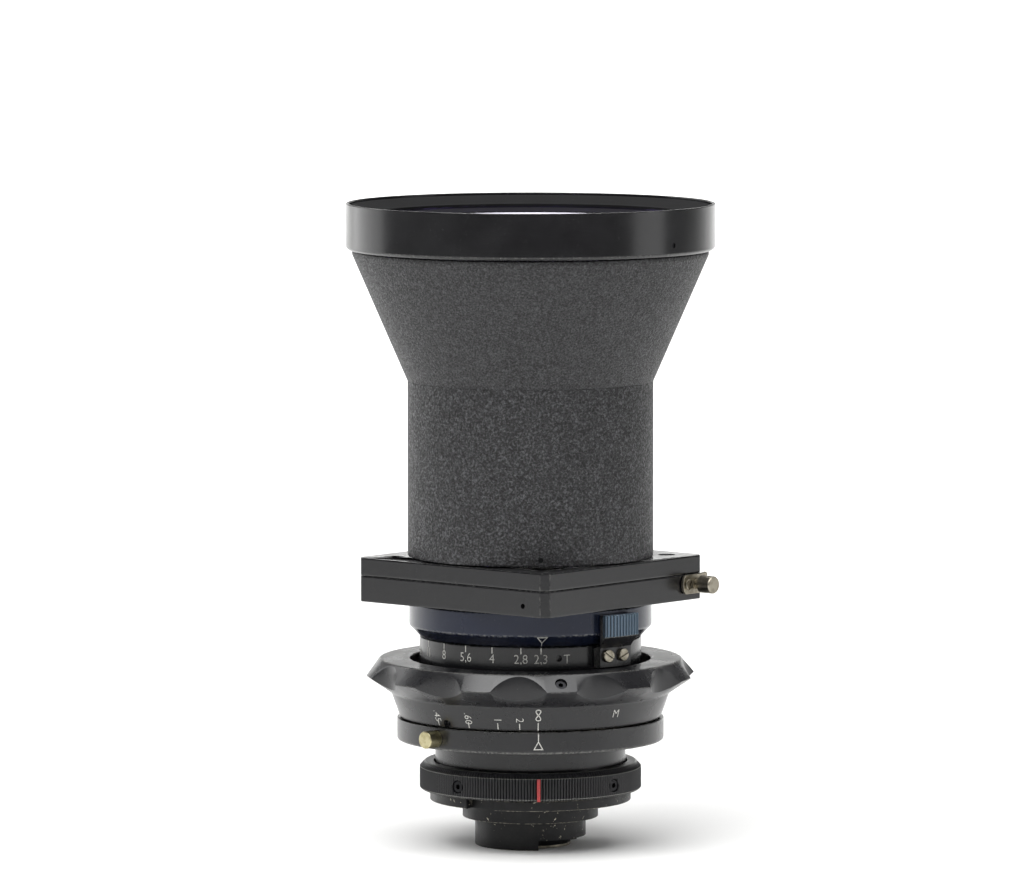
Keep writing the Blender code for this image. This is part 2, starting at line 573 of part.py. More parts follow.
def build_drawer(carrier):
    """Filter drawer, pulled out of the right back face, with its filter."""
    length = BOX_HALF + GAP + DRAWER_BACK
    middle = RIGHT_BACK * ((BOX_HALF + GAP - DRAWER_BACK) / 2)
    tray = make("filter_drawer", block((length, 2 * DRAWER_HALF_WIDTH, DRAWER_THICK),
                                       middle + Vector((0, 0, DRAWER_Z + DRAWER_THICK / 2)), along=RIGHT_BACK),
                "black_anodised", carrier)
    front = block((DRAWER_FRONT_THICK, 2 * DRAWER_FRONT_HALF, DRAWER_FRONT_HEIGHT),
                  RIGHT_BACK * (BOX_HALF + GAP + DRAWER_FRONT_THICK / 2)
                  + Vector((0, 0, DRAWER_FRONT_Z + DRAWER_FRONT_HEIGHT / 2)), along=RIGHT_BACK)
    boolean(tray, make("drawer_front", front), "UNION")
    top = DRAWER_Z + DRAWER_THICK
    recess = top - FILTER_THICK - GAP
    boolean(tray, make("filter_hole", rod((0, 0, DRAWER_Z - 1), (0, 0, top + 1), DRAWER_BORE, steps=STEPS)))
    boolean(tray, make("filter_recess", rod((0, 0, recess), (0, 0, top + 1), FILTER_R + GAP, steps=STEPS)))
    make("drawer_filter", rod((0, 0, recess + GAP), (0, 0, top), FILTER_R, steps=STEPS), "optical_glass", carrier)


def build_latch(block_carrier, carrier):
    """Swinging latch with its knob, on a screw in the right front face."""
    def on_face(along, out):
        return RIGHT_FRONT * (BOX_HALF + out) + RIGHT_BACK * along + Vector((0, 0, LATCH_Z))
    reach = BOX_HALF - GAP - LATCH_PIVOT
    size = (LATCH_BACK + reach, LATCH_THICK, 2 * LATCH_HALF_HEIGHT)
    centre = on_face(LATCH_PIVOT + (reach - LATCH_BACK) / 2, GAP + LATCH_THICK / 2)
    plate = make("latch_plate", block(size, centre, along=RIGHT_BACK), "nickel", carrier)
    hole = rod(on_face(LATCH_PIVOT, -1), on_face(LATCH_PIVOT, GAP + LATCH_THICK + 1), 0.9)
    boolean(plate, make("latch_hole", hole))
    face = GAP + LATCH_THICK + GAP
    knob = make("latch_knob", rod(on_face(LATCH_KNOB, face), on_face(LATCH_KNOB, KNOB_FROM + GAP), KNOB_NECK_R),
                "nickel", carrier)
    head = rod(on_face(LATCH_KNOB, KNOB_FROM), on_face(LATCH_KNOB, KNOB_TO), KNOB_R, steps=24)
    boolean(knob, make("knob_head", head), "UNION")
    slotted("latch_screw", on_face(LATCH_PIVOT, face), on_face(LATCH_PIVOT, face + 0.7), 1.7, block_carrier,
            slot=Vector((0.3, 0.3, 1)))


def build_barrel(carrier):
    """Barrel with its screw and the middle group."""
    barrel = make("barrel", turned(ring(BARREL_BORE, BARREL_R, BARREL_Z, BARREL_TOP)), "crinkle_enamel", carrier)
    screw_z = BARREL_Z + BARREL_SCREW_Z
    outer_end = BARREL_R - GAP
    inner_end = outer_end - BARREL_SCREW_LENGTH
    hole = rod(polar(inner_end - GAP, 0, screw_z), polar(BARREL_R + 1, 0, screw_z), BARREL_SCREW_R + GAP, steps=10)
    boolean(barrel, make("barrel_screw_hole", hole))
    make("barrel_screw", rod(polar(inner_end, 0, screw_z), polar(outer_end, 0, screw_z), BARREL_SCREW_R,
                             steps=10), "blackened_steel", carrier)
    low = BARREL_Z + MIDDLE_Z
    high = low + MIDDLE_HEIGHT
    make("middle_cell", turned(ring(MIDDLE_R + GAP, BARREL_BORE - GAP, low, high)), "matt_black_inside", carrier)
    make("middle_element", turned(lens_outline(MIDDLE_R, low + 5, high - 5, 2.5, 3.0, 4), SMALL_STEPS),
         "optical_glass", carrier)


def build_front(carrier):
    """Bell, front ring, name ring and the two front elements."""
    slope_top = BELL_TOP - BELL_BEAD
    make("front_bell", turned([
        (bell_bore(BELL_Z), BELL_Z), (BARREL_R, BELL_Z), (BELL_R, slope_top), (BELL_R, BELL_TOP),
        (bell_bore(BELL_TOP), BELL_TOP)]), "crinkle_enamel", carrier)
    glass_z = FRONT_TOP - FRONT_GLASS_BELOW_RIM
    seat_z = glass_z - FRONT_GLASS_EDGE - GAP
    name_top = FRONT_TOP - NAME_RING_TOP
    name_r = FRONT_R - FRONT_WALL - GAP
    name_in = name_r - NAME_RING_WIDTH
    ledge = name_top - NAME_RING_DROP - NAME_RING_THICK - GAP
    front = make("front_ring", turned([
        (FRONT_GLASS_R - FRONT_SEAT, FRONT_Z), (FRONT_R - FRONT_CHAMFER, FRONT_Z),
        (FRONT_R, FRONT_Z + FRONT_CHAMFER / 2), (FRONT_R, FRONT_TOP), (FRONT_R - FRONT_WALL, FRONT_TOP),
        (FRONT_R - FRONT_WALL, ledge), (FRONT_GLASS_R + GAP, ledge), (FRONT_GLASS_R + GAP, seat_z),
        (FRONT_GLASS_R - FRONT_SEAT, seat_z)]), "gloss_black", carrier)
    screw_z = FRONT_Z + FRONT_SCREW_Z
    outer_end = FRONT_R - GAP
    inner_end = outer_end - FRONT_SCREW_LENGTH
    hole = rod(polar(inner_end - GAP, FRONT_SCREW_AZ, screw_z), polar(FRONT_R + 1, FRONT_SCREW_AZ, screw_z),
               FRONT_SCREW_R + GAP, steps=10)
    boolean(front, make("front_screw_hole", hole))
    screw = rod(polar(inner_end, FRONT_SCREW_AZ, screw_z), polar(outer_end, FRONT_SCREW_AZ, screw_z),
                FRONT_SCREW_R, steps=10)
    make("front_screw", screw, "blackened_steel", carrier)
    make("name_ring", turned([
        (name_in, ledge + GAP), (name_r, ledge + GAP), (name_r, name_top), (name_in, name_top - NAME_RING_DROP)]), "gloss_black", carrier)
    points = 6
    dome = [(FRONT_GLASS_R * k / points, glass_z + FRONT_GLASS_RISE * (1 - (k / points) ** 2))
            for k in range(points + 1)]
    foot = glass_z - FRONT_GLASS_EDGE
    hollow = [(FRONT_GLASS_HOLLOW_R * k / points, foot + FRONT_GLASS_HOLLOW * (1 - (k / points) ** 2))
              for k in range(points + 1)]
    make("front_element", turned(hollow + [(FRONT_GLASS_R, foot)] + dome[::-1]), "optical_glass", carrier)
    low = BELL_Z + SECOND_Z
    high = low + SECOND_THICK
    make("second_cell", turned([
        (SECOND_R + GAP, low), (bell_bore(low) - GAP, low), (bell_bore(high) - GAP, high),
        (SECOND_R + GAP, high)]), "matt_black_inside", carrier)
    make("second_element", turned(lens_outline(SECOND_R, low + 1, high - 1, -2.0, 2.5, 4), SMALL_STEPS),
         "optical_glass", carrier)


def main():
    for old in list(bpy.data.objects):
        bpy.data.objects.remove(old)
    root = body("root")
    optical = body("optical_block")
    key, key_centre = build_rear_mount(root)
    build_focus_ring(body("focus_ring"))
    build_aperture_ring(body("aperture_ring"))
    build_iris_blades()
    build_rear_optics(optical, key, key_centre)
    build_housing(optical)
    build_filter_box(optical)
    build_drawer(body("filter_drawer", RIGHT_BACK * BOX_HALF + Vector((0, 0, DRAWER_Z))))
    pivot = RIGHT_FRONT * BOX_HALF + RIGHT_BACK * LATCH_PIVOT + Vector((0, 0, LATCH_Z))
    build_latch(optical, body("latch", pivot))
    build_barrel(optical)
    build_front(optical)


main()
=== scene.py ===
"""Looks of a wide-angle motion-picture camera lens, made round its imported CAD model.

Lengths are in millimetres and become metres when a mesh is made. An azimuth is in degrees round the
lens axis, from -Y, where the index marks are, towards +X.
"""
import json
import math

import bmesh
import bpy
import numpy as np
from bpy.props import FloatProperty, IntProperty, PointerProperty, StringProperty
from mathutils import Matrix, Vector


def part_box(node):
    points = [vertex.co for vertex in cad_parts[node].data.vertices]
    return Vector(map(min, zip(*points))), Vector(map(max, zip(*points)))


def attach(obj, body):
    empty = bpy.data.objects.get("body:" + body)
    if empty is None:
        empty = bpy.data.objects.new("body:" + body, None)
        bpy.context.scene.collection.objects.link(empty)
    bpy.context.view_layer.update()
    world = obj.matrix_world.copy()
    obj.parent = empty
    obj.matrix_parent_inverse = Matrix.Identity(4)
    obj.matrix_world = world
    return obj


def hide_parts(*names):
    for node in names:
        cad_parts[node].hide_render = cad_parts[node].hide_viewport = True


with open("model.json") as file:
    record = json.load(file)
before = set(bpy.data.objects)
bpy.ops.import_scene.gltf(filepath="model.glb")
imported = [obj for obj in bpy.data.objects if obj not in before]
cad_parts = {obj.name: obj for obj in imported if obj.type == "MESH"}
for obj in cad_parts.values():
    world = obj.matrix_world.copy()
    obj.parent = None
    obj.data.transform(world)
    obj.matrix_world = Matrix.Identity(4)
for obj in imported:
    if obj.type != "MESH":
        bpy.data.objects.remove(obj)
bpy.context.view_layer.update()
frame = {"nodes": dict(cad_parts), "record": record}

bl_info = {
    "name": "Cine lens looks",
    "version": (1, 0, 0),
    "blender": (4, 5, 0),
    "location": "View3D > Sidebar > Cine lens",
    "description": "Makes the fine surfaces, markings and finishes of a cine lens round its CAD model",
    "category": "Object",
}

MM = 0.001
ROUND = 256                # sides of a large turned piece
FINE = 48                  # sides of a screw, pin or knob
# The filter box stands on its corner: the drawer comes out forward, and the latch is on the face across.
FORWARD = np.array((1, 1, 0)) * math.sqrt(0.5)
ACROSS = np.array((1, -1, 0)) * math.sqrt(0.5)


def span(node):
    """Lowest z, highest z and largest radius of a CAD node, in millimetres."""
    low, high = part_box(node)
    return low[2] / MM, high[2] / MM, -low[1] / MM


def middle_of(node):
    """Middle of a CAD node's box, in millimetres, and the level direction out from the axis to it."""
    low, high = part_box(node)
    middle = (np.array(low) + high) / 2 / MM
    return middle, middle * (1, 1, 0) / np.linalg.norm(middle[:2])


def joint_pivot(name):
    """Where a hinge of the CAD model lies, in millimetres."""
    joints = frame["record"]["behaviour"]["joints"]
    return next(np.array(joint["pos_m"]) / MM for joint in joints if joint["name"] == name)


# Meshes

def polar(radius, azimuth, z=0.0):
    """Point (or points) at a radius, an azimuth and a height."""
    angle = np.radians(azimuth)
    return np.stack(np.broadcast_arrays(radius * np.sin(angle), -radius * np.cos(angle), z), -1).astype(float)


def fillet(points, breaks, arc=4):
    """Closed outline whose corners are rounded, as rows of (x, y, wear).

    A corner is replaced by a quadratic curve that starts and ends at its break from the corner. Wear is
    0 on the flats and rises to 1 in the middle of an outward corner. A point beyond each end of a curve
    keeps the shading of the flats even.
    """
    points = np.array(points, float)
    count = len(points)
    breaks = np.broadcast_to(np.array(breaks, float), count)
    before, after = np.roll(points, 1, 0) - points, np.roll(points, -1, 0) - points
    to_before = before / np.linalg.norm(before, axis=1, keepdims=True)
    to_after = after / np.linalg.norm(after, axis=1, keepdims=True)
    room = np.minimum(np.linalg.norm(before, axis=1), np.linalg.norm(after, axis=1))
    size = np.minimum(breaks, 0.3 * room)[:, None, None]
    area = np.sum(points[:, 0] * np.roll(points[:, 1], -1) - np.roll(points[:, 0], -1) * points[:, 1])
    turn = before[:, 1] * after[:, 0] - before[:, 0] * after[:, 1]
    outward = (turn * area > 0)[:, None]
    t = np.linspace(0, 1, arc + 1)[None, :, None]
    start, end = points[:, None] + to_before[:, None] * size, points[:, None] + to_after[:, None] * size
    curve = (1 - t) ** 2 * start + 2 * t * (1 - t) * points[:, None] + t ** 2 * end
    wear = np.sin(np.pi * t[..., 0]) * outward
    guard = 0.5 * size
    curve = np.concatenate([start + to_before[:, None] * guard, curve, end + to_after[:, None] * guard], 1)
    wear = np.concatenate([np.zeros((count, 1)), wear, np.zeros((count, 1))], 1)
    kept = np.broadcast_to(breaks[:, None] > 0, wear.shape).copy()
    kept[breaks <= 0, 0] = True
    curve[breaks <= 0, 0] = points[breaks <= 0]
    return np.concatenate([curve, wear[..., None]], -1)[kept]


def ring(inner, outer, low, high):
    """Corners of a plain ring's section, as (radius, z)."""
    return [(inner, low), (outer, low), (outer, high), (inner, high)]


def turn_grid(outline, steps=ROUND, first=0.0, sweep=360.0, wave=None):
    """Grid of points of an outline of (radius, z) carried round the axis.

    A point lies at (r sin a, -r cos a, z). wave(r, z, a) gives r where the piece isn't round.
    """
    whole = sweep >= 360.0
    azimuth = first + sweep * np.arange(steps + (0 if whole else 1)) / steps
    azimuth, radius = np.meshgrid(azimuth, outline[:, 0], indexing="ij")
    height = np.broadcast_to(outline[:, 1], radius.shape)
    if wave:
        radius = wave(radius, height, azimuth)
    return polar(radius, azimuth, height)


def along(grid, origin, axis, up=(0.0, 0.0, 1.0)):
    """Grid made round Z, moved so that Z lies along an axis and the origin at a point."""
    axis = np.array(axis, float) / np.linalg.norm(axis)
    side = np.cross(up, axis)
    if np.linalg.norm(side) < 1e-6:
        side = np.array([1.0, 0.0, 0.0])
    side /= np.linalg.norm(side)
    return np.array(origin, float) + grid @ np.stack([side, np.cross(axis, side), axis])


def grid_faces(rows, columns, wrap_rows, wrap_columns):
    """Quads between neighbours of a grid of points."""
    a = np.arange(rows if wrap_rows else rows - 1)
    b = np.arange(columns if wrap_columns else columns - 1)
    a, b = (item.ravel() for item in np.meshgrid(a, b, indexing="ij"))
    c, d = (a + 1) % rows, (b + 1) % columns
    return np.stack([a * columns + b, c * columns + b, c * columns + d, a * columns + d], 1)


def new_object(name, points, faces, wear=None):
    """Object of a closed mesh in millimetres, with its faces turned outwards and its doubles merged.

    The sign of the sum of each face's corner times its area vector tells whether the shell is inside out.
    """
    points = np.asarray(points, float).reshape(-1, 3)
    mesh = bpy.data.meshes.new(name)
    mesh.from_pydata(points * MM, [], faces)
    if wear is not None:
        layer = mesh.attributes.new("wear", "FLOAT", "POINT")
        layer.data.foreach_set("value", np.asarray(wear, np.float32).ravel())
    work = bmesh.new()
    work.from_mesh(mesh)
    bmesh.ops.remove_doubles(work, verts=work.verts, dist=1e-8)
    bmesh.ops.dissolve_degenerate(work, dist=1e-8, edges=work.edges)
    if work.calc_volume(signed=True) < 0:
        bmesh.ops.reverse_faces(work, faces=work.faces)
    work.to_mesh(mesh)
    work.free()
    made = bpy.data.objects.new(name, mesh)
    bpy.context.collection.objects.link(made)
    return made


def turned(name, outline, steps=ROUND, first=0.0, sweep=360.0, wave=None, place=None):
    """Piece turned from a closed outline of (radius, z, wear), with its ends closed if it stops short.

    An outline that starts and ends on the axis is left open, and its poles are merged.
    """
    outline = np.asarray(outline, float)
    whole = sweep >= 360.0
    poles = outline[0, 0] <= 0 and outline[-1, 0] <= 0
    grid = turn_grid(outline, steps, first, sweep, wave)
    rows, columns = grid.shape[:2]
    faces = [tuple(face) for face in grid_faces(rows, columns, whole, not poles)]
    if not whole:
        faces.append(tuple(range(columns)))
        faces.append(tuple(range(rows * columns - 1, (rows - 1) * columns - 1, -1)))
    if place:
        grid = along(grid, *place)
    wear = np.broadcast_to(outline[:, 2], (rows, columns)) if outline.shape[1] > 2 else None
    return new_object(name, grid, faces, wear)


def peg(name, origin, axis, sections, steps=FINE, edge=0.12, up=(0.0, 0.0, 1.0)):
    """Solid round piece along an axis, from (radius, distance) sections, with its edges broken."""
    outline = [(0.0, sections[0][1]), *sections, (0.0, sections[-1][1])]
    rounded = fillet(outline, [0.0] + [edge] * len(sections) + [0.0])
    return turned(name, rounded, steps, place=(origin, axis, up))


def prism(name, plan, low, high, edge=0.25):
    """Upright prism over a convex plan of (x, y), with its upright and level edges broken.

    Each level is the plan moved inwards along its corners' bisectors: the edge's size at the ends, its
    share at the middle of the rounding, and nothing in between.
    """
    rounded = fillet(plan, edge, 3)
    flat, wear = rounded[:, :2], rounded[:, 2]
    run = np.roll(flat, -1, 0) - flat
    run /= np.linalg.norm(run, axis=1, keepdims=True)
    outward = np.stack([run[:, 1], -run[:, 0]], 1)
    corner = outward + np.roll(outward, 1, 0)
    corner /= 1 + np.sum(outward * np.roll(outward, 1, 0), 1, keepdims=True)
    if np.sum(corner * (flat - flat.mean(0))) < 0:
        corner = -corner
    # Height in edge sizes from an end, share of the edge that the plan moves in, and wear.
    steps = [(0.0, 1.0, 0.2), (0.3, 0.3, 1.0), (1.0, 0.0, 0.0), (2.0, 0.0, 0.0)]
    levels = [(low + rise * edge, inset, level_wear) for rise, inset, level_wear in steps]
    levels += [(high - rise * edge, inset, level_wear) for rise, inset, level_wear in reversed(steps)]
    rings = [np.column_stack([flat - corner * edge * inset, np.full(len(flat), z)]) for z, inset, _ in levels]
    worn = [np.maximum(wear, level_wear) for _, _, level_wear in levels]
    count = len(flat)
    faces = [tuple(face) for face in grid_faces(len(levels), count, False, True)]
    faces += [tuple(range(count - 1, -1, -1)), tuple(range(count * (len(levels) - 1), count * len(levels)))]
    return new_object(name, np.stack(rings), faces, np.stack(worn))


def brick(name, size, centre, axis=(1, 0, 0), up=(0, 0, 1)):
    """Box with its first side along an axis and its last along up. It serves as a cutter."""
    axis, up = np.array(axis, float), np.array(up, float)
    axis, up = axis / np.linalg.norm(axis), up / np.linalg.norm(up)
    frame_of = np.stack([axis, np.cross(up, axis), up])
    corners = np.array([(x, y, z) for x in (-0.5, 0.5) for y in (-0.5, 0.5) for z in (-0.5, 0.5)]) * size
    faces = [(0, 1, 3, 2), (4, 6, 7, 5), (0, 4, 5, 1), (2, 3, 7, 6), (0, 2, 6, 4), (1, 5, 7, 3)]
    return new_object(name, np.array(centre, float) + corners @ frame_of, faces)


def carve(piece, *cutters):
    """Cut other objects out of a piece, and remove them."""
    for cutter in cutters:
        change = piece.modifiers.new("carve", "BOOLEAN")
        change.operation = "DIFFERENCE"
        change.object = cutter
    graph = bpy.context.evaluated_depsgraph_get()
    result = bpy.data.meshes.new_from_object(piece.evaluated_get(graph), depsgraph=graph)
    piece.modifiers.clear()
    piece.data = result
    for cutter in cutters:
        bpy.data.objects.remove(cutter)
    return piece


def break_edges(piece, width, angle=28.0):
    """Round the sharp edges that carving leaves, and mark the middle of each as worn."""
    work = bmesh.new()
    work.from_mesh(piece.data)
    wear = work.verts.layers.float.get("wear") or work.verts.layers.float.new("wear")
    sharp = [edge for edge in work.edges if edge.is_manifold and edge.calc_face_angle() > math.radians(angle)]
    made = bmesh.ops.bevel(work, geom=sharp, offset=width * MM, segments=2, profile=0.5, affect="EDGES",
                           clamp_overlap=True)
    faces = set(made["faces"])
    for vertex in made["verts"]:
        vertex[wear] = 1.0 if all(face in faces for face in vertex.link_faces) else 0.0
    work.to_mesh(piece.data)
    work.free()
    return piece


def finish(piece, finish_name, body, stands_for=(), angle=35):
    """Give a piece its finish, smooth shading and its CAD body, and hide the CAD nodes that it stands for."""
    piece.data.materials.clear()
    piece.data.materials.append(FINISHES[finish_name])
    piece.data.shade_smooth()
    piece.data.set_sharp_from_angle(angle=math.radians(angle))
    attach(piece, body)
    if stands_for:
        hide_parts(*stands_for)
    return piece


def dress(node, finish_name):
    """Give a CAD node a finish and keep its shape."""
    node_object = frame["nodes"][node]
    node_object.data.materials.clear()
    node_object.data.materials.append(FINISHES[finish_name])


# Markings

def stroke(path, width, closed=False, depth=0.03):
    """Thin bar along a flat path of (x, y): points as (x, y, out) and faces.

    Each point of the path gets four corners, half the width to each side and from 0 to the depth out.
    """
    path = np.array(path, float)
    ahead = np.roll(path, -1, 0) - path
    behind = path - np.roll(path, 1, 0)
    if not closed:
        ahead[-1], behind[0] = behind[-1], ahead[0]
    ahead /= np.linalg.norm(ahead, axis=1, keepdims=True)
    behind /= np.linalg.norm(behind, axis=1, keepdims=True)
    left = lambda v: np.stack([-v[:, 1], v[:, 0]], 1)
    side = left(ahead) + left(behind)
    side *= 0.5 * width / (1 + np.sum(left(ahead) * left(behind), 1, keepdims=True))
    low, high = np.zeros((len(path), 1)), np.full((len(path), 1), depth)
    corners = np.stack([np.hstack([path - side, low]), np.hstack([path + side, low]),
                        np.hstack([path + side, high]), np.hstack([path - side, high])], 1)
    faces = [tuple(face) for face in grid_faces(len(path), 4, closed, True)]
    if not closed:
        last = 4 * (len(path) - 1)
        faces += [(3, 2, 1, 0), (last, last + 1, last + 2, last + 3)]
    return corners.reshape(-1, 3), faces


def lettering(words, height, depth=0.03):
    """Thin closed letters: points as (x, y, out) centred on the origin, and faces."""
    curve = bpy.data.curves.new("lettering", "FONT")
    curve.body = words
    curve.align_x, curve.align_y = "CENTER", "CENTER"
    curve.extrude = 0.5
    curve.offset = -0.012                     # thins the strokes to those of an engraver
    curve.resolution_u = 3
    holder = bpy.data.objects.new("lettering", curve)
    bpy.context.collection.objects.link(holder)
    mesh = bpy.data.meshes.new_from_object(holder.evaluated_get(bpy.context.evaluated_depsgraph_get()))
    points = np.empty(3 * len(mesh.vertices))
    mesh.vertices.foreach_get("co", points)
    faces = [tuple(face.vertices) for face in mesh.polygons]
    bpy.data.objects.remove(holder)
    points = points.reshape(-1, 3)
    digit_height = 0.73                       # of the built-in font's digits, at size 1
    narrow = 0.9
    flat = points[:, :2] * (narrow, 1.0) * height / digit_height
    return np.column_stack([flat, (points[:, 2] + 0.5) * depth]), faces


def wrapped(name, shape, azimuth, z, radius_at, body, finish_name="white_fill", turn=0.0, lift=0.012):
    """Flat marking laid on a turned surface: x runs round it and y up it.

    A point (x, y, out) goes to the azimuth x / r and the height z + y, at the surface's radius plus out.
    """
    points, faces = shape
    angle = math.radians(turn)
    x = points[:, 0] * math.cos(angle) - points[:, 1] * math.sin(angle)
    y = points[:, 0] * math.sin(angle) + points[:, 1] * math.cos(angle)
    radius = radius_at(z + y)
    placed = polar(radius + lift + points[:, 2], azimuth + np.degrees(x / radius), z + y)
    return finish(new_object(name, placed, faces), finish_name, body)


# Finishes

FINISHES = {}


def linear(code):
    """Linear colour with alpha of an sRGB hex value."""
    parts = [int(code[k:k + 2], 16) / 255 for k in (1, 3, 5)]
    return (*[c / 12.92 if c <= 0.04045 else ((c + 0.055) / 1.055) ** 2.4 for c in parts], 1.0)


def feed(tree, node, **values):
    """Give a node its inputs. A value that is a socket is linked, and any other is set.

    Spaces in an input's name are written as underscores, and in0, in1 and so on mean its place.
    """
    for key, value in values.items():
        if key[:2] == "in" and key[2:].isdigit():
            socket = node.inputs[int(key[2:])]
        else:
            socket = node.inputs[key.replace("_", " ")]
        if isinstance(value, bpy.types.NodeSocket):
            tree.links.new(value, socket)
        else:
            socket.default_value = value


def add(tree, kind, settings=None, **values):
    """Node of a kind with its settings and its inputs."""
    node = tree.nodes.new(kind)
    for key, value in (settings or {}).items():
        setattr(node, key, value)
    feed(tree, node, **values)
    return node


def ramp(tree, factor, *stops):
    """Colour ramp from (position, colour) stops, where a colour is a hex value or a grey level."""
    node = add(tree, "ShaderNodeValToRGB", Fac=factor)
    points = node.color_ramp.elements
    while len(points) < len(stops):
        points.new(0.5)
    for point, (position, colour) in zip(points, stops):
        point.position = position
        point.color = linear(colour) if isinstance(colour, str) else (colour, colour, colour, 1.0)
    return node.outputs["Color"]


def new_material(name):
    """Empty material with an output and a Principled shader."""
    material = bpy.data.materials.new(name)
    material.use_nodes = True
    tree = material.node_tree
    tree.nodes.clear()
    shader = add(tree, "ShaderNodeBsdfPrincipled")
    output = add(tree, "ShaderNodeOutputMaterial")
    tree.links.new(shader.outputs["BSDF"], output.inputs["Surface"])
    FINISHES[name] = material
    return tree, shader


def object_coordinates(tree, stretch=(1.0, 1.0, 1.0)):
    """The piece's own coordinates in metres, stretched."""
    coordinates = add(tree, "ShaderNodeTexCoord").outputs["Object"]
    return add(tree, "ShaderNodeMapping", {"vector_type": "POINT"}, Vector=coordinates,
               Scale=stretch).outputs["Vector"]


def noise(tree, size_mm, detail=3.0, stretch=(1.0, 1.0, 1.0), distortion=0.0, rough=0.55):
    """Noise whose features are about size_mm across, from 0 to 1."""
    place = object_coordinates(tree, stretch)
    return add(tree, "ShaderNodeTexNoise", Vector=place, Scale=1.0 / (size_mm * MM), Detail=detail,
               Roughness=rough, Distortion=distortion).outputs["Fac"]


def mix_colour(tree, factor, first, second):
    """Blend of two colours, each a socket or a hex value."""
    as_input = lambda c: linear(c) if isinstance(c, str) else c
    return add(tree, "ShaderNodeMix", {"data_type": "RGBA"}, in0=factor, in6=as_input(first),
               in7=as_input(second)).outputs[2]


def math_node(tree, operation, first, second, clamp=False):
    """Sum, product or other of two numbers or sockets."""
    return add(tree, "ShaderNodeMath", {"operation": operation, "use_clamp": clamp}, in0=first,
               in1=second).outputs[0]


def bump(tree, height, distance_mm, strength=1.0):
    """Normal of a bumpy surface whose relief is distance_mm deep."""
    return add(tree, "ShaderNodeBump", Height=height, Distance=distance_mm * MM,
               Strength=strength).outputs["Normal"]


def edge_wear(tree, amount, size_mm=0.8):
    """How bare a broken edge is, from 0 to 1: the piece's wear attribute, eaten away by noise."""
    wear = add(tree, "ShaderNodeAttribute", {"attribute_name": "wear"}).outputs["Fac"]
    patchy = math_node(tree, "ADD", noise(tree, size_mm, 4.0), amount - 1.0)
    return math_node(tree, "MULTIPLY", wear, math_node(tree, "MULTIPLY", patchy, 2.5, True), True)


def crinkle_enamel(name, size_mm, relief_mm, valley_painted_shade, mean, ridge_painted_highlight):
    """Stoved crinkle enamel: grains of about size_mm with rounded tops, nearly matt, with painted shade in
    the valleys and a painted highlight on the tops of the grains.
    """
    tree, shader = new_material(name)
    grain = noise(tree, size_mm, 2.0, distortion=0.6)
    lumps = noise(tree, 2.4 * size_mm, 2.0)
    grain, lumps = math_node(tree, "MULTIPLY", grain, 0.8), math_node(tree, "MULTIPLY", lumps, 0.2)
    height = math_node(tree, "ADD", grain, lumps)
    # The colour runs from dark in the grain's valleys to pale on its ridges: painted shade and painted
    # highlight of the relief, on top of the bump's own shading.
    feed(tree, shader, Base_Color=ramp(tree, height, (0.38, valley_painted_shade), (0.52, mean), (0.68, ridge_painted_highlight)),
         Roughness=ramp(tree, height, (0.40, 0.70), (0.62, 0.42)), Normal=bump(tree, height, relief_mm))


def anodised(name, base, roughness, metallic=0.0, wear="#8C8C88", bare=0.55, turning=0.004):
    """Black-dyed anodised or enamelled aluminium, turned: fine rings across Z, dull smudges, pale edges.

    A finish rougher than 0.7 is a flat black paint, which hardly shines.
    """
    tree, shader = new_material(name)
    rings = noise(tree, 60.0, 2.0, (1.0, 1.0, 400.0))
    smudge = noise(tree, 9.0, 4.0)
    specks = ramp(tree, noise(tree, 0.45, 3.0), (0.69, 0.0), (0.74, 1.0))
    tone = mix_colour(tree, math_node(tree, "MULTIPLY", smudge, 0.35), base, "#2C2C2F")
    tone = mix_colour(tree, math_node(tree, "MULTIPLY", specks, 0.10), tone, "#B0B0AC")
    if roughness > 0.7:
        feed(tree, shader, Specular_IOR_Level=0.15)
    edge = edge_wear(tree, bare)
    dull = math_node(tree, "MULTIPLY", smudge, 0.12)
    feed(tree, shader, Base_Color=mix_colour(tree, edge, tone, wear),
         Roughness=math_node(tree, "ADD", dull, roughness - 0.05),
         Metallic=math_node(tree, "MAXIMUM", edge, metallic), Normal=bump(tree, rings, turning))


def plated(name, base, dark, roughness):
    """Plated or bare turned metal: fine scratches and a little tarnish in patches."""
    tree, shader = new_material(name)
    tarnish = noise(tree, 2.0, 4.0)
    scratches = noise(tree, 0.5, 3.0, (1.0, 1.0, 8.0))
    dull = math_node(tree, "MULTIPLY", tarnish, 0.2)
    feed(tree, shader, Base_Color=mix_colour(tree, ramp(tree, tarnish, (0.45, 0.0), (0.75, 0.8)), base, dark),
         Roughness=math_node(tree, "ADD", dull, roughness - 0.1), Normal=bump(tree, scratches, 0.01),
         Metallic=1.0)


def worn_black_brass():
    """Old black lacquer over brass on the mount: rubbed edges, small bright chips, dull patches."""
    tree, shader = new_material("worn_black_lacquer")
    chips = ramp(tree, noise(tree, 1.1, 4.0, distortion=0.5), (0.655, 0.0), (0.67, 1.0))
    region = ramp(tree, noise(tree, 14.0, 2.0), (0.50, 0.0), (0.60, 1.0))
    bare = math_node(tree, "MAXIMUM", math_node(tree, "MULTIPLY", chips, region), edge_wear(tree, 0.62, 0.9))
    dull = noise(tree, 5.0, 4.0)
    lacquer = mix_colour(tree, ramp(tree, dull, (0.40, 0.0), (0.62, 1.0)), "#050506", "#19191B")
    relief = math_node(tree, "SUBTRACT", noise(tree, 0.9, 4.0), bare)
    feed(tree, shader, Base_Color=mix_colour(tree, bare, lacquer, "#B9B4A4"), Metallic=bare,
         Roughness=ramp(tree, dull, (0.35, 0.30), (0.65, 0.55)), Normal=bump(tree, relief, 0.03),
         Specular_IOR_Level=0.3)


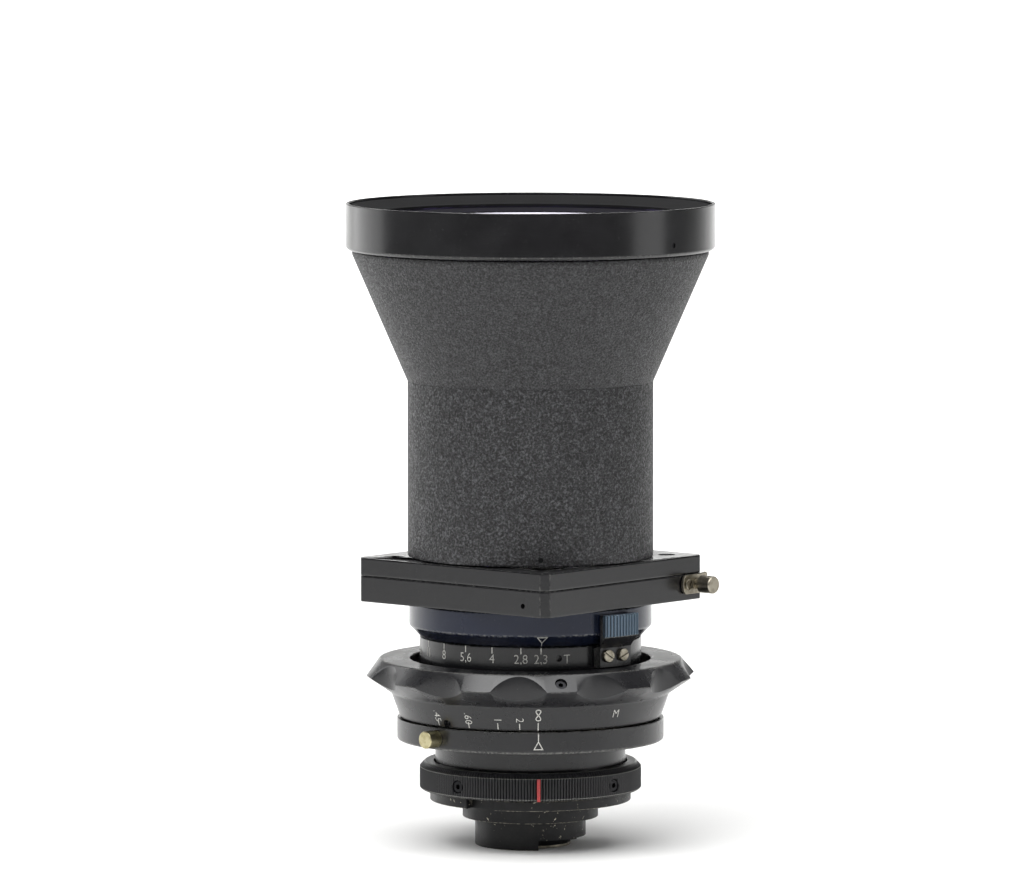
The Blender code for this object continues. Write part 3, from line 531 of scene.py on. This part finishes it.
def filled(name, colour):
    """Paint rubbed into engraved lines: matt, a little uneven."""
    tree, shader = new_material(name)
    uneven = noise(tree, 0.35, 3.0)
    grime = ramp(tree, uneven, (0.35, 0.45), (0.6, 0.0))
    feed(tree, shader, Base_Color=mix_colour(tree, grime, colour, "#4A4A48"), Roughness=0.6)


def coated_glass():
    """Optical glass with an amber and violet anti-reflection bloom."""
    tree, shader = new_material("coated_glass")
    bloom = ramp(tree, noise(tree, 60.0, 1.0), (0.35, 0.0), (0.65, 1.0))
    feed(tree, shader, Base_Color=mix_colour(tree, bloom, "#F3F1FF", "#FFF6EC"), Transmission_Weight=1.0,
         IOR=1.62, Roughness=0.02, Coat_Weight=0.3, Coat_Tint=linear("#C9B8FF"))


def stage_material(name, colour, roughness):
    """Plain matt studio paper."""
    tree, shader = new_material(name)
    feed(tree, shader, Base_Color=linear(colour), Roughness=roughness)


# Settings that a user would change

class LensSizes(bpy.types.PropertyGroup):
    """Sizes of the fine shapes and markings, in millimetres"""
    edge: FloatProperty(name="Edge break", description="Rounding of a turned edge", default=0.25,
                                  min=0.05, max=1.0)
    crinkle: FloatProperty(name="Crinkle", description="Width of a grain of the crinkle enamel",
                                     default=0.62, min=0.2, max=3.0)
    knurls: IntProperty(name="Knurls", description="Grooves round the clamping ring", default=230,
                                  min=60, max=360)
    numeral: FloatProperty(name="Numeral height", description="Height of the numerals on the scales",
                                     default=2.75, min=1.0, max=5.0)
    line: FloatProperty(name="Line width", description="Width of an engraved line", default=0.28,
                                  min=0.1, max=1.0)
    tab_ribs: IntProperty(name="Tab ribs", description="Ribs across the thumb tab", default=11,
                                    min=3, max=30)
    distance: FloatProperty(name="Camera distance", description="From the camera to the lens axis",
                                      default=2240.0, min=300.0, max=6000.0)


class LensColours(bpy.types.PropertyGroup):
    """Colours of the finishes, as sRGB hex values"""
    anodised: StringProperty(name="Anodised black", description="Rings and mount", default="#0D0D10")
    enamel: StringProperty(name="Gloss black", description="Front ring and filter box",
                                     default="#0B0B0D")
    housing: StringProperty(name="Blue-black", description="Lens housing", default="#131B30")
    tab: StringProperty(name="Thumb tab", description="Serrated tab", default="#566878")
    white: StringProperty(name="White fill", description="Scale markings", default="#D9D8D2")
    red: StringProperty(name="Red fill", description="Mounting mark", default="#B5393A")


def sizes():
    """The lens's sizes, as set in the panel."""
    return bpy.context.scene.lens_sizes


def colours():
    """The lens's colours, as set in the panel."""
    return bpy.context.scene.lens_colours


# One operator for each group of pieces

class FinishesOperator(bpy.types.Operator):
    """Make the materials"""
    bl_idname = "lens.finishes"
    bl_label = "Finishes"

    def execute(self, context):
        # The last three colours of each crinkle are the valleys' painted shade, the enamel's mean colour and
        # the ridges' painted highlight.
        crinkle_enamel("crinkle_enamel", sizes().crinkle, 0.60, "#070708", "#252527", "#525255")
        crinkle_enamel("fine_crinkle_enamel", 0.8 * sizes().crinkle, 0.30, "#111112", "#29292B", "#47474A")
        anodised("black_anodised", colours().anodised, 0.27, bare=0.64)
        anodised("gloss_enamel", colours().enamel, 0.20, bare=0.52, turning=0.002)
        anodised("knurled_anodised", colours().anodised, 0.34, bare=1.0)
        anodised("blue_black_anodised", colours().housing, 0.20, metallic=0.3, turning=0.002)
        anodised("blue_grey_anodised", colours().tab, 0.38, metallic=0.55, wear="#9FB0BC", bare=0.5)
        anodised("matt_black", "#0A0A0A", 0.75, bare=0.0)
        anodised("blackened_steel", "#1A1A1C", 0.34, metallic=0.8, bare=0.5)
        plated("nickel_plate", "#A09A8C", "#5A5446", 0.34)
        plated("pale_brass", "#C2BA96", "#857848", 0.32)
        worn_black_brass()
        filled("white_fill", colours().white)
        filled("red_fill", colours().red)
        coated_glass()
        stage_material("paper", "#F4F4F3", 0.9)
        return {"FINISHED"}


class FrontOperator(bpy.types.Operator):
    """Make the front ring, the name ring and the front glass"""
    bl_idname = "lens.front"
    bl_label = "Front"

    def execute(self, context):
        edge = sizes().edge
        low, high, outer = span("front_ring")
        name_low, name_high, name_outer = span("name_ring")
        glass_low, glass_high, glass_outer = span("front_element")
        wall, gap, seat = 0.9, 0.3, 3.0
        bead = 0.7
        corners = [(glass_outer - seat, low), (outer - bead, low), (outer, low + bead), (outer, high),
                   (outer - wall, high),
                   (outer - wall, name_low - gap), (glass_outer + gap, name_low - gap),
                   (glass_outer + gap, glass_low - gap), (glass_outer - seat, glass_low - gap)]
        breaks = [edge, edge, 0.5, edge, edge, 0.1, 0.1, 0.1, 0.1]
        front = turned("front_ring_turned", fillet(corners, breaks), 384)
        middle, out = middle_of("front_screw")
        carve(front, peg("front_hole", middle - 1.3 * out, out, [(0.72, 0.0), (0.72, 6.0)], 24))
        finish(front, "gloss_enamel", "optical_block", ["front_ring"])
        dress("front_screw", "blackened_steel")
        inner = name_outer - 7.0
        corners = [(inner, name_low), (name_outer, name_low), (name_outer, name_high),
                   (name_outer - 0.7, name_high), (inner + 0.7, name_high - 2.0), (inner, name_high - 2.2)]
        finish(turned("name_ring_turned", fillet(corners, 0.12), 384), "matt_black", "optical_block",
               ["name_ring"])
        points, rise, hollow, hollow_r = 24, 0.6, 3.4, 31.0
        edge_z = glass_high - rise
        t = np.linspace(0, 1, points)
        dome = np.column_stack([glass_outer * t, edge_z + rise * (1 - t ** 2), 0 * t])
        bowl = np.column_stack([hollow_r * t, glass_low + hollow * (1 - t ** 2), 0 * t])
        outline = np.concatenate([bowl, [(glass_outer, glass_low, 0)], dome[::-1]])
        finish(turned("front_glass", outline, 192), "coated_glass", "optical_block", ["front_element"])
        return {"FINISHED"}


class BarrelOperator(bpy.types.Operator):
    """Make the bell and the barrel, with its screw"""
    bl_idname = "lens.barrel"
    bl_label = "Bell and barrel"

    def execute(self, context):
        edge = sizes().edge
        low, high, outer = span("front_bell")
        barrel_low, barrel_high, barrel_outer = span("barrel")
        bell_wall, barrel_wall, bead = 2.2, 2.9, 1.1
        # The enamel runs over the joint, so the two meet in a fine line.
        joint = low - 0.26
        corners = [(barrel_outer - bell_wall, joint), (barrel_outer + 0.05, joint), (outer, high - bead),
                   (outer, high), (outer - bell_wall, high)]
        bell = turned("bell_turned", fillet(corners, [0.1, 0.05, 0.4, 0.3, edge]), 320)
        finish(bell, "fine_crinkle_enamel", "optical_block", ["front_bell"])
        corners = ring(barrel_outer - barrel_wall, barrel_outer, barrel_low, barrel_high)
        barrel = turned("barrel_turned", fillet(corners, [edge, 0.4, 0.08, edge]), 320)
        middle, out = middle_of("barrel_screw")
        carve(barrel, peg("barrel_hole", middle - out, out, [(0.75, 0.0), (0.75, 6.0)], 24))
        finish(barrel, "crinkle_enamel", "optical_block", ["barrel"])
        dress("barrel_screw", "blackened_steel")
        return {"FINISHED"}


def box_plan(half, cut):
    """Plan of the square box, set on its corner, with its corners cut off, as (x, y) points in order."""
    near, far = half, half - cut
    sides = np.array([(near, -far), (near, far), (far, near), (-far, near), (-near, far), (-near, -far),
                      (-far, -near), (far, -near)])
    turn = math.sqrt(0.5) * np.array([[1, -1], [1, 1]])
    return sides @ turn


class FilterBoxOperator(bpy.types.Operator):
    """Make the filter box, its cover, the cover screws and the drawer"""
    bl_idname = "lens.filter_box"
    bl_label = "Filter box"

    def execute(self, context):
        half, cut = 35.7, 2.05                    # half the box's side, and of a cut corner's leg
        low, seam, _ = span("box_body")
        cover_low, cover_high, _ = span("box_cover")
        plan = box_plan(half, cut)
        # The seam between the two is closed to a hairline, as it is screwed shut.
        body = prism("box_body_milled", plan, low, seam + 0.1)
        slot_low, slot_high = 2.4, 20.0
        slot = brick("slot", (28.3 + half + 2, 60.6, slot_high),
                     FORWARD * ((half + 2 - 28.3) / 2) + (0, 0, low + slot_low + slot_high / 2), FORWARD)
        bore = peg("bore", (0, 0, low - 1), (0, 0, 1), [(24.5, 0.0), (24.5, 12.0)], 128)
        hole_at = -FORWARD * half + ACROSS * 27.35 + (0, 0, low + 3.0)
        hole = peg("hole", hole_at + FORWARD * 4, -FORWARD, [(0.75, 0.0), (0.75, 6.0)], 24)
        carve(body, slot, bore, hole)
        finish(body, "gloss_enamel", "optical_block", ["box_body"])
        cover = prism("box_cover_milled", plan, cover_low - 0.1, cover_high)
        screw_r = 39.4                            # circle of the four cover screws
        cutters = [peg("cover_bore", (0, 0, cover_low - 2), (0, 0, 1), [(30.0, 0.0), (30.0, 12.0)], 128)]
        for number in range(4):
            centre = polar(screw_r, 90.0 * number, cover_high)
            cutters.append(peg(f"sink_{number}", centre - (0, 0, 2.9), (0, 0, 1),
                               [(1.3, 0.0), (2.55, 2.9), (2.55, 3.5)], 32, edge=0.02))
        carve(cover, *cutters)
        finish(cover, "gloss_enamel", "optical_block", ["box_cover"])
        for number in range(4):
            foot = polar(screw_r, 90.0 * number, cover_high - 2.6)
            head = peg(f"cover_screw_fine_{number + 1}", foot, (0, 0, 1),
                       [(1.05, 0.0), (2.25, 2.2), (2.25, 2.4)], 40, 0.05)
            direction = polar(1.0, 90.0 * number + 30.0)
            carve(head, brick("slot", (6, 0.6, 1.4), foot + (0, 0, 2.5), direction))
            finish(head, "blackened_steel", "optical_block", [f"cover_screw_{number + 1}"])
        dress("filter_drawer", "black_anodised")
        dress("drawer_filter", "coated_glass")
        return {"FINISHED"}


class LatchOperator(bpy.types.Operator):
    """Make the latch of the filter drawer, with its knob and its screw"""
    bl_idname = "lens.latch"
    bl_label = "Latch"

    def execute(self, context):
        pivot = joint_pivot("latch_swing")
        up = np.array((0, 0, 1.0))
        reach, back, half_height, gap, thick = 8.5, 2.1, 2.8, 0.3, 0.9
        knob_at = 3.6
        # Plan of the plate on the face: round at its back, with a short pointed tail above its front end.
        t = np.linspace(math.pi / 2, 3 * math.pi / 2, 13)
        round_end = np.column_stack([-back + 1.4 + 1.6 * np.cos(t), half_height * np.sin(t)])
        plan = np.concatenate([round_end, [(reach - 1.0, -half_height), (reach - 0.4, -half_height + 0.6),
                                           (reach - 0.4, 1.2), (reach + 0.3, half_height - 0.5),
                                           (reach - 0.3, half_height + 0.3), (reach - 2.6, half_height)]])
        plate = prism("latch_plate_cut", plan, gap, gap + thick, 0.12)
        points = np.empty(3 * len(plate.data.vertices))
        plate.data.vertices.foreach_get("co", points)
        flat = points.reshape(-1, 3)
        placed = pivot * MM + flat[:, :1] * FORWARD + flat[:, 1:2] * up + flat[:, 2:] * ACROSS
        plate.data.vertices.foreach_set("co", placed.ravel())
        finish(plate, "nickel_plate", "latch", ["latch_plate"])
        centre = pivot + FORWARD * knob_at
        knob = peg("latch_knob_turned", centre, ACROSS,
                   [(1.6, gap + thick + 0.05), (1.6, 3.0), (2.5, 3.15), (2.55, 3.6), (2.55, 7.4), (2.3, 7.8)],
                   64, 0.15)
        finish(knob, "nickel_plate", "latch", ["latch_knob"])
        screw = peg("latch_screw_turned", pivot, ACROSS, [(1.7, gap + thick + 0.05), (1.7, 1.9)], 40, 0.2)
        carve(screw, brick("slot", (4.5, 0.5, 0.9), pivot + ACROSS * 2.0, up + 0.45 * FORWARD, ACROSS))
        finish(screw, "nickel_plate", "optical_block", ["latch_screw"])
        return {"FINISHED"}


class HousingOperator(bpy.types.Operator):
    """Make the lens housing with its index"""
    bl_idname = "lens.housing"
    bl_label = "Lens housing"

    def execute(self, context):
        edge = sizes().edge
        low, high, outer = span("lens_housing")
        step_low, step_r, step_high, tube_bore, tube_r = 60.9, 32.0, 64.0, 24.5, 27.9
        corners = [(tube_bore, low), (tube_r, low), (tube_r, step_low), (step_r, step_low),
                   (outer, step_high), (outer, high), (tube_bore, high)]
        profile = fillet(corners, [0.1, 0.1, 0.1, edge, 0.5, edge, 0.1])
        housing = turned("housing_turned", profile, 320)
        finish(housing, "blue_black_anodised", "optical_block", ["lens_housing"])
        # The index is the outline of a triangle, pointing down at the aperture scale.
        slope = (outer - step_r) / (step_high - step_low)
        cone = lambda z: step_r + slope * (z - step_low)
        triangle = [(-1.4, 0.85), (1.4, 0.85), (0, -0.85)]
        azimuth, line = 0.8, 0.2
        wrapped("aperture_index", stroke(triangle, line, True), azimuth, 62.9, cone, "optical_block")
        stem = stroke([(0, 0.45), (0, -0.45)], line)
        wrapped("aperture_index_stem", stem, azimuth, 61.5, cone, "optical_block")
        return {"FINISHED"}


class TabOperator(bpy.types.Operator):
    """Make the thumb tab of the aperture ring: a black block, a ribbed pad and two screws"""
    bl_idname = "lens.tab"
    bl_label = "Thumb tab"

    def execute(self, context):
        azimuth, half_angle = 39.0, 9.8
        low, high, _ = span("aperture_tab")
        outer, block_r, block_high, pad_low, pad_in = 38.3, 35.6, 59.5, 63.3, 35.4
        ring_r = 32.0
        ribs, rib_depth = sizes().tab_ribs, 0.55
        first = azimuth - half_angle

        def slab(name, outline, wave=None, steps=120):
            return turned(name, outline, steps, first, 2 * half_angle, wave)

        def ribbed(radius, _, azimuth):
            """Outer face cut by rounded grooves, one to a rib."""
            phase = (azimuth - first) / (2 * half_angle) * ribs % 1.0
            groove = rib_depth * np.clip(1.0 - 4.5 * np.abs(phase - 0.5), 0.0, 1.0) ** 0.7
            return np.where(radius > outer - 0.9, radius - groove, radius)

        corners = [(ring_r + 0.3, low), (block_r, low), (block_r, block_high + 0.6), (outer - 0.3, pad_low),
                   (outer - 0.3, high), (pad_in, high), (pad_in, 60.6), (ring_r + 0.3, 59.8)]
        body = slab("tab_block", fillet(corners, 0.15))
        finish(body, "black_anodised", "aperture_ring", ["aperture_tab"])
        pad = fillet(ring(outer - 1.4, outer, pad_low + 0.1, high + 0.02), [0.02, 0.3, 0.3, 0.02])
        finish(slab("tab_pad", pad, ribbed, 24 * ribs), "blue_grey_anodised", "aperture_ring")
        for number in (1, 2):
            middle, out = middle_of(f"tab_screw_{number}")
            base = out * (block_r - 0.6) + (0, 0, middle[2] + 0.4)
            head = peg(f"tab_screw_fine_{number}", base, out, [(1.85, 0.0), (1.85, 1.75)], 48, 0.3)
            tilt = math.radians(35 if number == 1 else -20)
            side = np.cross(out, (0, 0, 1))
            carve(head, brick("slot", (6, 0.5, 1.3), base + 1.9 * out,
                              side * math.cos(tilt) + np.array((0, 0, 1)) * math.sin(tilt), out))
            finish(head, "nickel_plate", "aperture_ring", [f"tab_screw_{number}"])
        return {"FINISHED"}


class ApertureOperator(bpy.types.Operator):
    """Make the aperture ring with its scale"""
    bl_idname = "lens.aperture"
    bl_label = "Aperture ring"

    def execute(self, context):
        edge, line, height = sizes().edge, sizes().line, sizes().numeral
        low, high, outer = span("aperture_ring")
        ring_piece = turned("aperture_ring_turned", fillet(ring(28.4, outer, low, high), edge), 320)
        hole_azimuth = 9.8
        hole = polar(outer, hole_azimuth, 57.4)
        out = polar(1.0, hole_azimuth)
        carve(ring_piece, peg("scale_hole", hole - 1.6 * out, out, [(0.95, 0.0), (0.95, 3.0)], 32))
        finish(ring_piece, "gloss_enamel", "aperture_ring", ["aperture_ring"])
        around = lambda _: outer
        scale = {"2,3": 0.0, "2,8": 10.3, "4": 25.4, "5,6": 40.7, "8": 55.9, "11": 71.3, "16": 86.4}
        index_azimuth, line_z, number_z = 0.6, 59.6, 57.1
        for words, turn in scale.items():
            azimuth = index_azimuth - turn
            tick = stroke([(0, -0.9), (0, 0.9)], line)
            wrapped("aperture_line", tick, azimuth, line_z, around, "aperture_ring")
            wrapped("aperture_number", lettering(words, height), azimuth, number_z, around, "aperture_ring")
        wrapped("aperture_letter", lettering("T", height), 14.2, 57.0, around, "aperture_ring")
        return {"FINISHED"}


class FocusOperator(bpy.types.Operator):
    """Make the scalloped focus ring with its scale"""
    bl_idname = "lens.focus"
    bl_label = "Focus ring"

    def execute(self, context):
        edge, line, height = sizes().edge, sizes().line, sizes().numeral
        low, high, outer = span("focus_ring")
        bore = 34.8
        scallops, floor_r, cutter_r, first_scallop = 12, 43.9, 12.9, -9.0
        cone_low_r, cone_r, cone_high, shoulder_z, top_r = 37.7, 40.2, 44.4, 49.4, 43.5
        corners = [(bore, low), (cone_low_r, low), (cone_r, cone_high), (outer, shoulder_z), (top_r, high),
                   (bore, high)]
        profile = fillet(corners, [edge, edge, 0.4, 0.3, 0.4, edge])
        piece = turned("focus_ring_turned", profile, 480)
        centre_r = floor_r + cutter_r
        azimuths = first_scallop + 360 / scallops * np.arange(scallops)
        feet = [polar(centre_r, azimuth, cone_high + 0.35) for azimuth in azimuths]
        cutters = [peg("scallop", foot, (0, 0, 1), [(cutter_r, 0.0), (cutter_r, 20.0)], 96) for foot in feet]
        carve(piece, *cutters)
        break_edges(piece, 0.22)
        screw_azimuth = 6.2
        top_face = (polar(outer, screw_azimuth, shoulder_z) + polar(top_r, screw_azimuth, high)) / 2
        outwards = polar(high - shoulder_z, screw_azimuth) + (0, 0, outer - top_r)
        carve(piece, peg("screw_hole", top_face - 0.6 * outwards, outwards, [(1.75, 0.0), (1.75, 6.0)], 40))
        notch_azimuth = -43.2
        notch = polar(cone_low_r + 0.6, notch_azimuth, 38.4)
        out = polar(1.0, notch_azimuth)
        carve(piece, peg("set_screw_hole", notch - 2.0 * out, out, [(1.3, 0.0), (1.3, 6.0)], 40))
        finish(piece, "black_anodised", "focus_ring", ["focus_ring"], 40.0)
        dress("focus_set_screw", "blackened_steel")
        slope = (cone_r - cone_low_r) / (cone_high - low)
        cone = lambda z: cone_low_r + slope * (z - low)
        far = -1.5
        scale = {"2": 7.9, "1": 17.3, ".60": 30.6, ".45": 46.5}
        line_z, number_z = 38.7, 40.6
        wrapped("focus_line", stroke([(0, -1.2), (0, 1.2)], line), far, line_z, cone, "focus_ring")
        t = np.linspace(0, 2 * math.pi, 49)[:-1]
        infinity = np.column_stack([0.68 * np.sin(2 * t), 1.6 * np.sin(t)])
        wrapped("focus_infinity", stroke(infinity, 0.28, True), far, 42.1, cone, "focus_ring")
        for words, turn in scale.items():
            wrapped("focus_line", stroke([(0, -0.9), (0, 0.9)], line), far - turn, line_z, cone, "focus_ring")
            wrapped("focus_number", lettering(words, 0.85 * height), far - turn, number_z, cone, "focus_ring",
                    turn=-90)
        wrapped("focus_unit", lettering("M", 0.9 * height), 33.6, 41.5, cone, "focus_ring")
        return {"FINISHED"}


class IndexOperator(bpy.types.Operator):
    """Make the index ring, the locating pin and the neck"""
    bl_idname = "lens.index"
    bl_label = "Index ring and neck"

    def execute(self, context):
        edge = sizes().edge
        low, high, outer = span("index_ring")
        bore = 34.0
        finish(turned("index_ring_turned", fillet(ring(bore, outer, low, high), [0.1, 0.8, edge, 0.1]), 320),
               "black_anodised", "root", ["index_ring"])
        triangle = [(-1.25, -1.1), (1.25, -1.1), (0, 1.1)]
        around = lambda _: outer
        azimuth, line_z = -1.4, 35.7
        wrapped("focus_index", stroke(triangle, 0.26, True), azimuth, 33.3, around, "root")
        line = stroke([(0, -1.1), (0, 1.1)], sizes().line)
        wrapped("focus_index_line", line, azimuth, line_z, around, "root")
        pin_low, pin_high, _ = span("locating_pin")
        pin_r = (pin_high - pin_low) / 2
        pin_azimuth = -49.4
        out = polar(1.0, pin_azimuth)
        foot = out * (outer - 0.2) + (0, 0, (pin_low + pin_high) / 2)
        finish(peg("pin_turned", foot, out, [(pin_r, 0.0), (pin_r, 4.6)], 72, 0.3), "pale_brass", "root",
               ["locating_pin"])
        low, high, outer = span("mount_neck")
        neck_bore = 20.2
        finish(turned("neck_turned", fillet(ring(neck_bore, outer, low, high), edge), 256), "black_anodised",
               "root", ["mount_neck"])
        dress("helicoid_flange", "black_anodised")
        return {"FINISHED"}


class GripOperator(bpy.types.Operator):
    """Make the knurled clamping ring, its screws and the red mounting mark"""
    bl_idname = "lens.grip"
    bl_label = "Clamping ring"

    def execute(self, context):
        low, high, outer = span("grip_ring")
        bevel, knurl_high, bore = 1.5, 22.9, 28.0
        depth, knurls = 0.45, sizes().knurls

        def knurled(radius, _, azimuth):
            """Side cut by sharp straight grooves, one to a knurl."""
            phase = np.abs(azimuth / 360 * knurls % 1.0 - 0.5) * 2
            return np.where(radius > outer - 0.7, radius - depth * phase ** 1.5, radius)

        corners = [(bore, low), (outer - 0.6, low), (outer, low + 0.5), (outer, knurl_high - 0.1),
                   (outer - bevel, high), (bore, high)]
        profile = fillet(corners, [0.1, 0.25, 0.15, 0.15, 0.3, 0.1])
        piece = turned("grip_ring_knurled", profile, 6 * knurls, wave=knurled)
        middle = (low + knurl_high) / 2
        azimuths = [44.2 + 90 * k for k in range(4)]
        carve(piece, *[peg("grip_hole", polar(bore - 1, azimuth, middle), polar(1, azimuth),
                           [(1.9, 0.0), (1.9, 6.0)], 40) for azimuth in azimuths])
        finish(piece, "knurled_anodised", "root", ["grip_ring"], 60.0)
        mark_azimuth, mark_width = -0.6, 0.95
        mark = stroke([(0, -3.2), (0, 3.2)], mark_width, depth=0.35)
        wrapped("mounting_mark", mark, mark_azimuth, middle, lambda _: outer, "root", "red_fill")
        for number in range(1, 5):
            dress(f"grip_screw_{number}", "blackened_steel")
        return {"FINISHED"}


class MountOperator(bpy.types.Operator):
    """Make the bayonet plate, the rear tube and its bright light shield"""
    bl_idname = "lens.mount"
    bl_label = "Rear mount"

    def execute(self, context):
        edge = sizes().edge
        low, high, outer = span("bayonet_plate")
        plate = turned("plate_turned", fillet(ring(19.9, outer, low, high), edge), 256)
        for azimuth in (-35.0, 145.0):
            along_rim = polar(1.0, azimuth + 90.0)
            carve(plate, brick("notch", (9.0, 6.8, 5.8), polar(outer, azimuth, low), along_rim))
        finish(plate, "worn_black_lacquer", "root", ["bayonet_plate"])
        low, high, outer = span("rear_tube")
        bore, tube_r, step_z, cut_high, cut_from, cut_sweep = 13.8, 16.0, 8.2, 2.8, 3.5, 114.5
        corners = [(bore, low), (tube_r, low), (tube_r, step_z), (outer, step_z), (outer, high), (bore, high)]
        tube = turned("tube_turned", fillet(corners, edge), 192)
        cutaway = np.array(ring(bore - 1, tube_r + 1, -1.0, cut_high))
        carve(tube, turned("cutaway", cutaway, 96, cut_from, cut_sweep))
        finish(tube, "worn_black_lacquer", "root", ["rear_tube"])
        # Only the foot of the light shield is bright.
        low, high, outer = span("rear_light_shield")
        shield_r, wall, foot = 11.6, 1.2, 0.8
        corners = [(shield_r - wall, foot), (shield_r, foot), (shield_r, high - wall), (outer, high - wall),
                   (outer, high), (shield_r - wall, high)]
        shield = turned("shield_turned", fillet(corners, 0.1), 128)
        finish(shield, "matt_black", "root", ["rear_light_shield"])
        finish(turned("shield_foot", fillet(ring(shield_r - wall, shield_r, low, foot - 0.02), 0.15), 128),
               "nickel_plate", "root")
        return {"FINISHED"}


class InsideOperator(bpy.types.Operator):
    """Give the pieces inside their finishes"""
    bl_idname = "lens.inside"
    bl_label = "Inside"

    def execute(self, context):
        blades = [f"iris_blade_{number}" for number in range(1, 9)]
        inside = {
            "nickel_plate": ["inner_helicoid", "outer_helicoid"],
            "matt_black": ["rear_cell", "rear_spacer", "middle_cell", "second_cell"],
            "coated_glass": ["rear_element", "rear_inner_element", "middle_element", "second_element"],
            "blackened_steel": ["focus_guide_key", "iris_plate", "iris_cover", "iris_drive_ring",
                                "iris_drive_pin", *blades],
        }
        for finish_name, nodes in inside.items():
            for node in nodes:
                dress(node, finish_name)
        return {"FINISHED"}


class StageOperator(bpy.types.Operator):
    """Make the floor, the backdrop, the lights and the camera"""
    bl_idname = "lens.stage"
    bl_label = "Stage"

    def execute(self, context):
        scene = context.scene
        azimuth, camera_height, distance = math.radians(4.8), 317.0, sizes().distance
        back = np.array((-math.sin(azimuth), -math.cos(azimuth), 0))
        right = np.array((math.cos(azimuth), -math.sin(azimuth), 0))
        # The floor runs back and curves up into a low backdrop that a view from behind passes over.
        wide, near, far, curve, tall = 3500.0, -1200.0, 1300.0, 300.0, 330.0
        t = np.linspace(0, math.pi / 2, 25)
        bend = np.column_stack([far + curve * np.sin(t), curve * (1 - np.cos(t))])
        path = np.concatenate([[(near, 0)], bend, [(far + curve, tall)]])
        across = np.array([-wide, wide])
        grid = (path[:, None, :1] * -back + path[:, None, 1:] * (0, 0, 1)) + across[None, :, None] * right
        sweep = new_object("sweep", grid.reshape(-1, 3), grid_faces(len(path), 2, False, False), None)
        sweep.data.shade_smooth()
        sweep.data.materials.append(FINISHES["paper"])

        def lamp(name, view_azimuth, elevation, reach, width, height, power, target=(0, 0, 100)):
            """Area lamp at an angle seen from the camera, aimed at a target in millimetres."""
            turn, rise = math.radians(view_azimuth), math.radians(elevation)
            level = math.sin(turn) * right + math.cos(turn) * back
            towards = level * math.cos(rise) + (0, 0, math.sin(rise))
            data = bpy.data.lights.new(name, "AREA")
            data.shape, data.size, data.size_y, data.energy = "RECTANGLE", width * MM, height * MM, power
            piece = bpy.data.objects.new(name, data)
            piece.location = (np.array(target) + reach * towards) * MM
            piece.rotation_euler = Vector(-towards).to_track_quat("-Z", "Y").to_euler()
            scene.collection.objects.link(piece)
            return piece

        lamp("overhead", 0.0, 80.0, 1300.0, 1500.0, 1100.0, 22.0)
        lamp("key", -28.0, 50.0, 1500.0, 1300.0, 1000.0, 15.0)
        lamp("left_side", -122.0, 10.0, 1100.0, 800.0, 900.0, 3.2)
        lamp("right_side", 78.0, 12.0, 1200.0, 520.0, 900.0, 2.2)
        lamp("backdrop", 0.0, 60.0, 900.0, 2600.0, 500.0, 24.0, -1500.0 * back + (0, 0, 250.0))
        world = bpy.data.worlds.new("studio")
        scene.world = world
        world.use_nodes = True
        background = world.node_tree.nodes["Background"]
        background.inputs["Color"].default_value = linear("#FFFFFF")
        background.inputs["Strength"].default_value = 0.13
        camera_data = bpy.data.cameras.new("camera")
        camera_data.sensor_width, camera_data.lens = 36.0, 273.2
        camera_data.clip_end = 20.0
        camera = bpy.data.objects.new("camera", camera_data)
        place = distance * back + (0, 0, camera_height)
        aim = -4.6 * right + (0, 0, 118.4)
        camera.location = place * MM
        camera.rotation_euler = Vector(aim - place).to_track_quat("-Z", "Y").to_euler()
        scene.collection.objects.link(camera)
        scene.camera = camera
        scene.view_settings.view_transform = "Standard"
        return {"FINISHED"}


OPERATORS = (
    FinishesOperator, FrontOperator, BarrelOperator, FilterBoxOperator, LatchOperator, HousingOperator,
    TabOperator, ApertureOperator, FocusOperator, IndexOperator, GripOperator, MountOperator, InsideOperator,
    StageOperator,
)


class LensPanel(bpy.types.Panel):
    """Settings of the lens and a button for each group of pieces"""
    bl_idname = "VIEW3D_PT_lens"
    bl_label = "Cine lens"
    bl_space_type = "VIEW_3D"
    bl_region_type = "UI"
    bl_category = "Cine lens"

    def draw(self, context):
        for group in (context.scene.lens_sizes, context.scene.lens_colours):
            for key in group.__annotations__:
                self.layout.prop(group, key)
        for operator in OPERATORS:
            self.layout.operator(operator.bl_idname)


CLASSES = (LensSizes, LensColours, *OPERATORS, LensPanel)


def register():
    for item in CLASSES:
        bpy.utils.register_class(item)
    bpy.types.Scene.lens_sizes = PointerProperty(type=LensSizes)
    bpy.types.Scene.lens_colours = PointerProperty(type=LensColours)


def unregister():
    del bpy.types.Scene.lens_colours
    del bpy.types.Scene.lens_sizes
    for item in reversed(CLASSES):
        bpy.utils.unregister_class(item)


def main():
    register()
    for operator in OPERATORS:
        group, name = operator.bl_idname.split(".")
        getattr(getattr(bpy.ops, group), name)()


if __name__ == "__main__":
    main()
